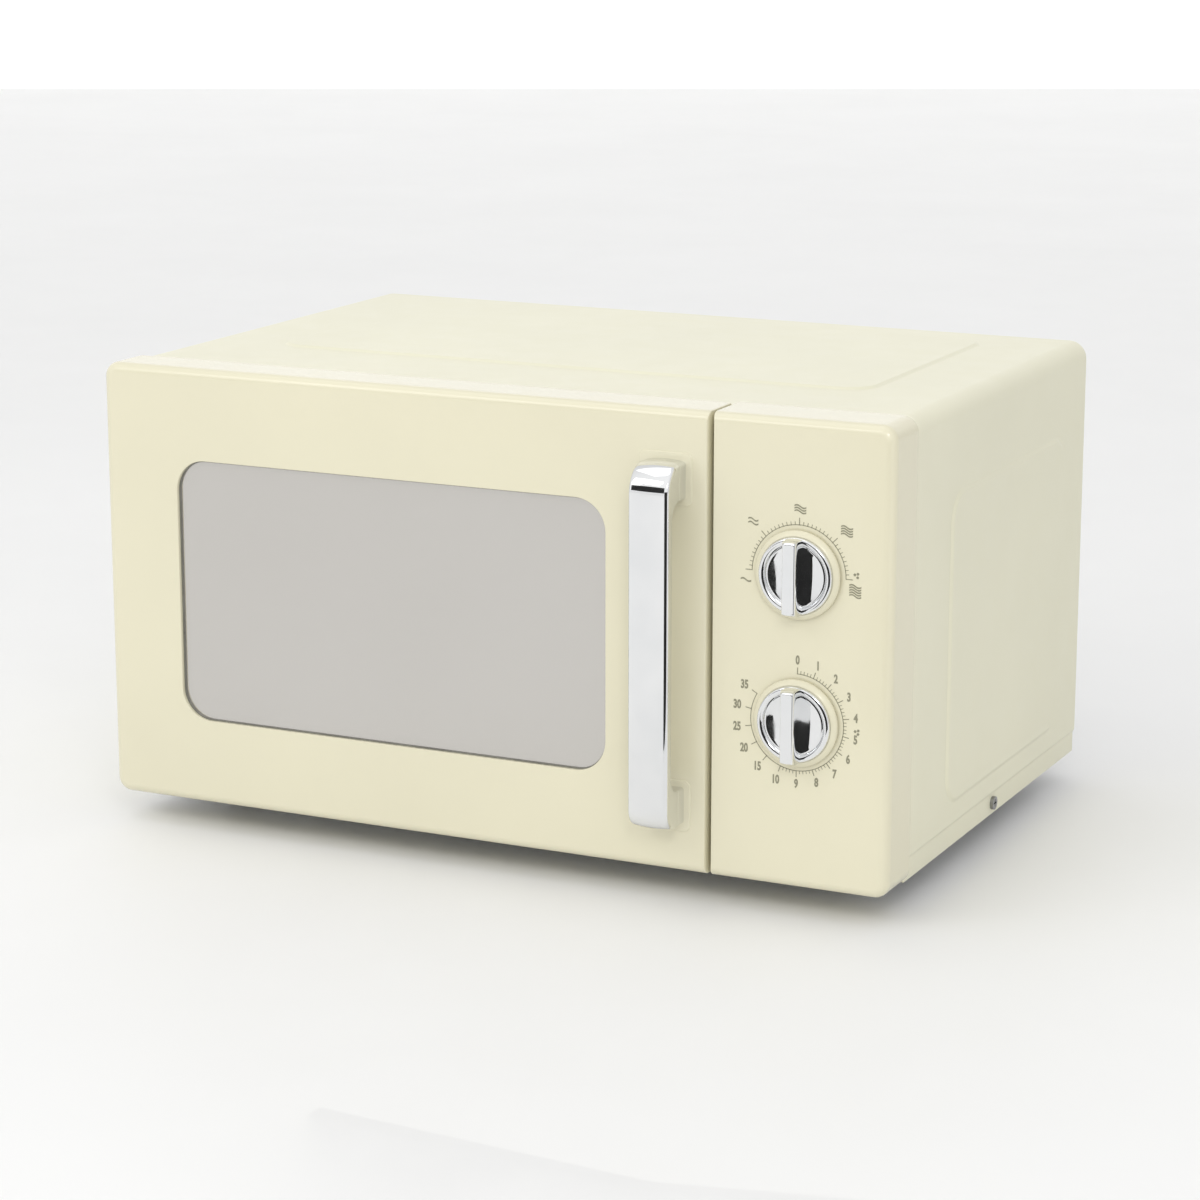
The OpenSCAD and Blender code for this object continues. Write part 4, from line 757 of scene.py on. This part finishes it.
def make_screen():
    """Steel sheet behind the pane, with a field of round holes too small for the waves to pass."""
    low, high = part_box("door_inner_panel")
    wx0, wz0, wx1, wz1 = WINDOW
    columns = int((wx1 - wx0 - SCREEN_MARGIN) / HOLE_PITCH)
    rows = int((wz1 - wz0 - SCREEN_MARGIN) / HOLE_PITCH)
    x0 = (wx0 + wx1) / 2 - columns * HOLE_PITCH / 2
    z0 = (wz0 + wz1) / 2 - rows * HOLE_PITCH / 2
    x1, z1 = x0 + columns * HOLE_PITCH, z0 + rows * HOLE_PITCH
    bm = bmesh.new()
    sides = (low.y, high.y)
    for i in range(columns):
        for j in range(rows):
            cx, cz = x0 + (i + 0.5) * HOLE_PITCH, z0 + (j + 0.5) * HOLE_PITCH
            walls = []
            for y in sides:
                square, hole = [], []
                for k in range(8):
                    t = math.pi * k / 4
                    reach = HOLE_PITCH / 2 / max(abs(math.cos(t)), abs(math.sin(t)))
                    square.append((cx + reach * math.cos(t), y, cz + reach * math.sin(t)))
                    hole.append((cx + HOLE_R * math.cos(t), y, cz + HOLE_R * math.sin(t)))
                square, hole = ring(bm, square), ring(bm, hole)
                bridge(bm, square, hole)
                walls.append(hole)
            bridge(bm, walls[0], walls[1])
    # Plain margin, joined to the field along the same points
    edge = []
    for y in sides:
        steps = [(x0 + i * HOLE_PITCH / 2, z0) for i in range(2 * columns)]
        steps += [(x1, z0 + j * HOLE_PITCH / 2) for j in range(2 * rows)]
        steps += [(x1 - i * HOLE_PITCH / 2, z1) for i in range(2 * columns)]
        steps += [(x0, z1 - j * HOLE_PITCH / 2) for j in range(2 * rows)]
        inner = ring(bm, [(x, y, z) for x, z in steps])
        outer = ring(bm, [(x, y, z) for x, z in rounded_rect(low.x, low.z, high.x, high.z, 4 * MM, 5)])
        plane_with_holes(bm, outer, [inner])
        edge.append(outer)
    bridge(bm, edge[0], edge[1])
    finish_mesh(bm, "door_screen", "door", "inner_door", ["door_inner_panel"], sharp=30)


# ------------------------------------------------------------------ casing
FIELD_R = 18 * MM
FIELD_H = 1.2 * MM
BEVEL_W = 3.4 * MM
BEVEL_STEPS = 8
SHEET_T = 1 * MM
CASING_R = 10 * MM
REAR_R = 4.5 * MM
FRONT_LIP_R = 0.8 * MM
FLANGE_W = 7.5 * MM
SIDE_STEP_UP = 13 * MM
SIDE_STEP_IN = 1 * MM
SIDE_LOW_UP = 1.2 * MM


def field_profile():
    """Offsets inwards and heights of a field's soft edge, from its foot to its flat top."""
    shares = (k / BEVEL_STEPS for k in range(BEVEL_STEPS + 1))
    return [(BEVEL_W * t, FIELD_H * (0.5 - 0.5 * math.cos(math.pi * t))) for t in shares]


def embossed_panel(bm, corners, to_world, field, field_r):
    """Flat sheet with one raised field. corners and field are rectangles in the sheet's own (a, b) plane."""
    a0, b0, a1, b1 = corners
    outer = [bm.verts.new(to_world(a, b, 0.0)) for a, b in ((a0, b0), (a1, b0), (a1, b1), (a0, b1))]
    loops = []
    for inset, height in field_profile():
        outline = rounded_rect(field[0] + inset, field[1] + inset, field[2] - inset, field[3] - inset,
                               field_r - inset, 12)
        loops.append([bm.verts.new(to_world(a, b, height)) for a, b in outline])
    for a, b in zip(loops, loops[1:]):
        bridge(bm, a, b)
    plane_with_holes(bm, outer, [loops[0]])
    bm.faces.new(loops[-1])


class CasingSize:
    """Main places of the casing, from the box of its CAD node."""

    def __init__(self):
        low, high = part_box("outer_casing")
        self.half = high.x - FIELD_H
        self.top = high.z - FIELD_H
        self.foot = low.z
        self.front, self.back = low.y, high.y
        self.fronts_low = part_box("door_frame")[0].z
        self.step = self.fronts_low + SIDE_STEP_UP
        self.side_low = self.step + SIDE_LOW_UP
        self.flat = (self.front + FRONT_LIP_R, self.back - REAR_R)


def add_casing_fields(bm, size):
    """Side walls and the roof, each a flat sheet with a raised field."""
    flat_front, flat_back = size.flat
    side_field = (front_y(84), size.fronts_low + 24 * MM, size.back - 38 * MM,
                  size.fronts_low + (238 - 47) * MM)
    roof_field = (-(225.75 - 50) * MM, front_y(93), (225.75 - 50) * MM, size.back - 28 * MM)
    for s in (-1, 1):
        embossed_panel(bm, (flat_front, size.side_low, flat_back, size.top - CASING_R),
                       lambda a, b, h, s=s: (s * (size.half + h), a, b), side_field, FIELD_R)
    embossed_panel(bm, (-size.half + CASING_R, flat_front, size.half - CASING_R, flat_back),
                   lambda a, b, h: (a, b, size.top + h), roof_field, FIELD_R)


def casing_corner(size, s):
    """Rounded upper corner of the section, on the side s."""
    core_x, core_z = size.half - CASING_R, size.top - CASING_R
    return [(s * (core_x + CASING_R * math.cos(t)), core_z + CASING_R * math.sin(t))
            for t in (math.radians(90 * k / 10) for k in range(11))]


def casing_foot(size, s):
    """Low part of a side wall, stepped inwards below the fronts."""
    w = size.half - SIDE_STEP_IN
    return [(s * w, size.foot), (s * w, size.step - 1.4 * MM), (s * (w + 0.15 * MM), size.step - 0.5 * MM),
            (s * (size.half - 0.15 * MM), size.step + 0.5 * MM), (s * size.half, size.side_low)]


def inset_section(size, points, inset):
    """Moves the casing's section inwards by inset, keeping its number of points."""
    core_x, core_z = size.half - CASING_R, size.top - CASING_R
    r = max(CASING_R - inset, 0.0)
    new_x, new_z = size.half - inset - r, size.top - inset - r
    moved = []
    for x, z in points:
        dx, dz = abs(x) - core_x, z - core_z
        if dx > -1e-9 and dz > -1e-9:
            across, up = dx / CASING_R, dz / CASING_R
            moved.append((math.copysign(new_x + r * across, x), new_z + r * up))
        else:
            moved.append((x - math.copysign(inset, x), z))
    return moved


def make_casing():
    """Sheet with raised fields; its section is swept from front to back and folded over the rear."""
    size = CasingSize()
    bm = bmesh.new()
    add_casing_fields(bm, size)
    right = casing_foot(size, 1) + casing_corner(size, 1)
    left = casing_foot(size, -1) + casing_corner(size, -1)
    whole = right + list(reversed(left))

    def row(y, inset):
        return ring(bm, [(x, y, z) for x, z in inset_section(size, whole, inset)])

    front_rows = [row(size.front + FRONT_LIP_R * (1 - math.sin(t)), FRONT_LIP_R * (1 - math.cos(t)))
                  for t in map(math.radians, (90, 60, 30, 0))]
    rear_rows = [row(size.back - REAR_R * (1 - math.sin(t)), REAR_R * (1 - math.cos(t)))
                 for t in map(math.radians, (0, 15, 30, 45, 60, 75, 90))]
    flange = row(size.back, REAR_R + FLANGE_W)
    for rows in (front_rows, rear_rows + [flange]):
        for a, b in zip(rows, rows[1:]):
            strip(bm, a, b)
    # Upper corners and stepped feet between those two ends; the flat sheets are there already
    n_foot, n = len(casing_foot(size, 1)), len(whole)
    flat_sheets = (n_foot - 1, len(right) - 1, n - n_foot - 1)
    a, b = front_rows[-1], rear_rows[0]
    for k in range(n - 1):
        if k not in flat_sheets:
            bm.faces.new((a[k], a[k + 1], b[k + 1], b[k]))
    piece = finish_mesh(bm, "casing_shell", "chassis", "cream_paint", ["outer_casing"], sharp=40)
    thick = piece.modifiers.new("sheet", "SOLIDIFY")
    thick.thickness = SHEET_T
    thick.offset = -1
    thick.use_even_offset = True
    weigh_normals(piece)


def front_y(mm):
    """Row Y of a place that is mm millimetres behind the front face."""
    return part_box("door_frame")[0].y + mm * MM


# ------------------------------------------------------------------ handle
HANDLE_CROWN = 1.0 * MM
HANDLE_EDGE_R = 2.0 * MM
HANDLE_UPPER_R = 15 * MM
HANDLE_LOWER_R = 11 * MM
HANDLE_T = 6.5 * MM
HANDLE_INNER_EDGE = 1.0 * MM
HANDLE_STEPS = 14


def handle_section(width, crown, edge_r, steps=5):
    """Half-round edges and a slightly domed outside: (across, depth) pairs, depth 0 at the crown."""
    half = width / 2
    slope = 4 * crown / width
    points = []
    for k in range(-6, 7):
        x = (half - edge_r) * k / 6
        points.append((x, crown * (x / half) ** 2))
    left = [(-half + edge_r - edge_r * math.sin(t), points[0][1] + edge_r - edge_r * math.cos(t))
            for t in (slope + (math.pi / 2 - slope) * k / steps for k in range(steps, 0, -1))]
    right = [(-x, d) for x, d in reversed(left)]
    return left + points + right


def handle_bend(outer, inner, outer_r, inner_r, to_normal):
    """Stations round a bend: place on the outside, outward normal, place on the inside."""
    stations = []
    for k in range(HANDLE_STEPS + 1):
        normal = to_normal(math.radians(90 * k / HANDLE_STEPS))
        stations.append(((outer[0] + outer_r * normal[0], outer[1] + outer_r * normal[1]), normal,
                         (inner[0] + inner_r * normal[0], inner[1] + inner_r * normal[1])))
    return stations


def handle_path():
    """Stations from the lower foot to the upper one, along the C that the bar makes in side view."""
    low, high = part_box("door_handle")
    front, back = low.y, high.y
    inner_r = HANDLE_UPPER_R - HANDLE_T
    inner_y = front + HANDLE_UPPER_R
    path = [((back, low.z), (0.0, -1.0), (back, low.z + HANDLE_FOOT))]
    path += handle_bend((front + HANDLE_LOWER_R, low.z + HANDLE_LOWER_R),
                        (inner_y, low.z + HANDLE_FOOT + inner_r), HANDLE_LOWER_R, inner_r,
                        lambda t: (-math.sin(t), -math.cos(t)))
    path += handle_bend((inner_y, high.z - HANDLE_UPPER_R),
                        (inner_y, high.z - HANDLE_FOOT - inner_r), HANDLE_UPPER_R, inner_r,
                        lambda t: (-math.cos(t), math.sin(t)))
    path.append(((back, high.z), (0.0, 1.0), (back, high.z - HANDLE_FOOT)))
    return path


def make_handle():
    """Bent chrome bar: a C in side view, its outside slightly domed, with soft edges all along."""
    low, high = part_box("door_handle")
    middle = (low.x + high.x) / 2
    half = (high.x - low.x) / 2
    edge = HANDLE_INNER_EDGE
    inside_section = ((half, edge), (half - edge, 0.0), (edge - half, 0.0), (-half, edge))
    section = handle_section(high.x - low.x, HANDLE_CROWN, HANDLE_EDGE_R)
    bm = bmesh.new()
    rings = []
    for outside, normal, inside in handle_path():
        points = [(middle + across, outside[0] - normal[0] * d, outside[1] - normal[1] * d)
                  for across, d in section]
        points += [(middle + across, inside[0] + normal[0] * lift, inside[1] + normal[1] * lift)
                   for across, lift in inside_section]
        rings.append(ring(bm, points))
    for a, b in zip(rings, rings[1:]):
        bridge(bm, a, b)
    bm.faces.new(rings[0])
    bm.faces.new(rings[-1])
    weigh_normals(finish_mesh(bm, "handle_bar", "door", "chrome", ["door_handle"], sharp=50))


# ------------------------------------------------------------------ dials
CAP_R = 19.5 * MM
DIAL_OUT = 14 * MM
GRIP_HALF = 4 * MM
GRIP_END_R = CAP_R - 0.5 * MM
GRIP_FOOT = -3.0 * MM
GRIP_PULL = 4.2 * MM
DISH_R = 14.6
# Profiles in millimetres: radius, and place along the axis with 0 on the panel's face
CAP_PROFILE = [(0.0, -1.8), (18.5, -1.8), (19.5, -2.8), (19.5, -4.4), (19.3, -5.2), (18.9, -5.75),
               (18.3, -6.0), (17.4, -6.0), (16.7, -5.8), (16.2, -5.3), (15.6, -4.5), (15.1, -4.7)]
DISH_RADII = (DISH_R, 13.5, 12, 10.5, 9, 7.5, 6, 4.5, 3, 1.5, 0.0)
SKIRT_PROFILE = [(3.3, -0.8), (22.1, -0.8), (22.4, -1.1), (22.4, -2.0), (22.2, -2.5), (21.7, -3.0),
                 (20.6, -3.9), (20.1, -4.2), (19.6, -4.2), (19.55, -1.85), (3.3, -1.85)]
# Heights of the grip's layers below its top, and how far each is drawn in
GRIP_LAYERS = [(3.2, 0.0), (1.4, 0.06), (0.45, 0.13), (0.08, 0.2), (0.0, 0.27)]


def make_dial(name, body):
    """Chrome cap with a raised rim and a bar grip, in a cream skirt."""
    centre = Vector(frame_joint(name + "_turn")["pos_m"])
    centre.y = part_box("control_panel")[0].y
    make_cap(name, body, centre)
    make_grip(name, body, centre)
    make_skirt(name, body, centre)


def make_cap(name, body, centre):
    """Cap with a raised rim and a slightly hollow face."""
    bm = bmesh.new()
    dish = [(r, -3.8 - 0.8 * (r / DISH_R) ** 2) for r in DISH_RADII]
    lathe(bm, [(r * MM, y * MM) for r, y in CAP_PROFILE + dish], centre, "Y", 128, closed=False)
    weigh_normals(finish_mesh(bm, name + "_cap", body, "chrome", [name + "_knob"], sharp=60))


def make_grip(name, body, centre):
    """Bar across the cap, its ends following the rim."""
    reach = math.asin(GRIP_HALF / GRIP_END_R)
    ends = []
    for s in (1, -1):
        ends += [(s * GRIP_END_R * math.sin(t), s * GRIP_END_R * math.cos(t))
                 for t in (-reach + 2 * reach * k / 6 for k in range(7))]
    layers = [(GRIP_FOOT, 0.0)] + [(-DIAL_OUT + down * MM, shrink) for down, shrink in GRIP_LAYERS]
    bm = bmesh.new()
    loops = []
    for y, shrink in layers:
        pull = shrink * GRIP_PULL
        loops.append(ring(bm, [(centre.x + x * (GRIP_HALF - pull) / GRIP_HALF, centre.y + y,
                                centre.z + z * (1 - pull / GRIP_END_R * 1.6)) for x, z in ends]))
    for a, b in zip(loops, loops[1:]):
        bridge(bm, a, b)
    bm.faces.new(loops[0])
    bm.faces.new(loops[-1])
    weigh_normals(finish_mesh(bm, name + "_grip", body, "chrome", sharp=60))


def make_skirt(name, body, centre):
    bm = bmesh.new()
    lathe(bm, [(r * MM, y * MM) for r, y in SKIRT_PROFILE], centre, "Y", 128)
    weigh_normals(finish_mesh(bm, name + "_skirt", body, "cream_plastic", [name + "_knob_skirt"], sharp=60))


# ------------------------------------------------------------------ print on the panel
INK_T = 0.12 * MM
INK_SINK = 0.05 * MM
SCALE_R = 24.6
SCALE_W = 0.35
SHORT_TICK_R = 26.4
NUMBER_R = 31.6
NUMBER_H = 4.4 * MM
MINUTE_STEP = 20


class Print:
    """Marks of ink on the panel around one dial. Angles run clockwise from the top."""

    def __init__(self, joint):
        self.centre = Vector(frame_joint(joint)["pos_m"])
        self.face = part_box("control_panel")[0].y
        self.bm = bmesh.new()

    def place(self, r, angle):
        t = math.radians(angle)
        return (self.centre.x + r * MM * math.sin(t), self.centre.z + r * MM * math.cos(t))

    def outline(self, points):
        prism(self.bm, points, self.face - INK_T, self.face + INK_SINK)

    def arc(self, r, start, end, width):
        steps = max(2, round(abs(end - start) / 3))
        angles = [start + (end - start) * k / steps for k in range(steps + 1)]
        for a, b in zip(angles, angles[1:]):
            self.outline([self.place(r, a), self.place(r + width, a), self.place(r + width, b),
                          self.place(r, b)])

    def tick(self, r0, r1, angle, width):
        t = math.radians(angle)
        side = (math.cos(t) * width / 2 * MM, -math.sin(t) * width / 2 * MM)
        points = []
        for r, s in ((r0, -1), (r1, -1), (r1, 1), (r0, 1)):
            x, z = self.place(r, angle)
            points.append((x + s * side[0], z + s * side[1]))
        self.outline(points)

    def wave(self, x, z, length, width):
        """Small wavy stroke centred on (x, z), in millimetres from the dial's axis."""
        steps, slope = 10, -0.12
        upper, lower = [], []
        for k in range(steps + 1):
            u = k / steps
            px = x + (u - 0.5) * length
            pz = z + 0.55 * math.sin(2 * math.pi * u) + slope * (u - 0.5) * length
            upper.append((self.centre.x + px * MM, self.centre.z + (pz + width / 2) * MM))
            lower.append((self.centre.x + px * MM, self.centre.z + (pz - width / 2) * MM))
        for k in range(steps):
            self.outline([lower[k], lower[k + 1], upper[k + 1], upper[k]])

    def waves(self, x, z, count, length, pitch):
        for k in range(count):
            self.wave(x, z + (k - (count - 1) / 2) * pitch, length, 0.72)

    def drops(self, x, z):
        """Three small flakes: the mark for defrosting."""
        for dx, dz in ((-1.1, 0.4), (0.5, 0.9), (0.4, -0.9)):
            points = [(self.centre.x + (x + dx + 0.75 * math.cos(t)) * MM,
                       self.centre.z + (z + dz + 0.75 * math.sin(t)) * MM)
                      for t in (2 * math.pi * k / 6 for k in range(6))]
            self.outline(points)

    def done(self, name):
        finish_mesh(self.bm, name, "chassis", "dark_plastic", sharp=30, mat=INK)


def number(text, x, z, height):
    """A printed number, made of the font's own outline as a thin mesh."""
    data = bpy.data.curves.new("digits", "FONT")
    data.body = text
    data.align_x = "CENTER"
    data.align_y = "CENTER"
    data.size = height * 1.38
    data.offset = height * 0.05
    data.extrude = INK_T / 2
    data.resolution_u = 6
    obj = bpy.data.objects.new("digits", data)
    bpy.context.scene.collection.objects.link(obj)
    bpy.context.view_layer.update()
    mesh = bpy.data.meshes.new_from_object(obj)
    bpy.data.objects.remove(obj)
    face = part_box("control_panel")[0].y
    mesh.transform(Matrix.Translation((x, face - INK_T / 2, z)) @ Matrix.Rotation(math.radians(90), 4, "X")
                   @ Matrix.Diagonal((0.68, 1, 1, 1)))
    return mesh


def make_power_print():
    marks = Print("power_turn")
    marks.arc(SCALE_R, -90, 90, SCALE_W)
    for k in range(37):
        angle = -90 + 5 * k
        long = k % 9 == 0
        marks.tick(SCALE_R, 28.3 if long else SHORT_TICK_R, angle, 0.4 if long else 0.3)
    marks.wave(-28.05, -5.3, 5.6, 0.8)
    marks.waves(-24.45, 24.4, 2, 5.4, 1.9)
    marks.waves(0.35, 32.6, 3, 6.2, 1.3)
    marks.waves(24.85, 23.8, 4, 6.2, 1.25)
    marks.waves(29.65, -5.6, 5, 6.2, 1.25)
    marks.drops(30.4, 2.2)
    marks.done("power_scale")


def make_timer_print():
    marks = Print("timer_turn")
    marks.arc(SCALE_R, 0, 300, SCALE_W)
    labels = [str(k) for k in range(11)] + ["15", "20", "25", "30", "35"]
    for k in range(len(labels)):
        marks.tick(SCALE_R, 28.0, MINUTE_STEP * k, 0.4)
    for k in range(51):
        if k % 5:
            marks.tick(SCALE_R, SHORT_TICK_R, 4 * k, 0.28)
    marks.drops(32.0, -1.4)
    marks.done("timer_scale")
    bm = bmesh.new()
    for k, label in enumerate(labels):
        x, z = marks.place(NUMBER_R + (1.0 if len(label) > 1 else 0.0), MINUTE_STEP * k)
        mesh = number(label, x, z, NUMBER_H)
        bm.from_mesh(mesh)
        bpy.data.meshes.remove(mesh)
    bm.normal_update()
    mesh = bpy.data.meshes.new("timer_numbers")
    bm.to_mesh(mesh)
    bm.free()
    mesh.materials.append(INK)
    piece = bpy.data.objects.new("timer_numbers", mesh)
    bpy.context.scene.collection.objects.link(piece)
    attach(piece, "chassis")


# ------------------------------------------------------------------ finishes of the CAD nodes
def dress_cad_nodes():
    slots = {p["node"]: p["material_slot"] for p in frame["record"]["subparts"]}
    for name, obj in NODES.items():
        obj.data.materials.clear()
        obj.data.materials.append(MATERIALS[slots[name]])


place_camera()
make_studio()
dress_cad_nodes()
make_door()
make_panel()
make_pane()
# Ring of painted shade in the crevice round the window
make_border()
make_screen()
make_casing()
make_handle()
make_dial("power", "power_dial")
make_dial("timer", "timer_dial")
make_power_print()
make_timer_print()
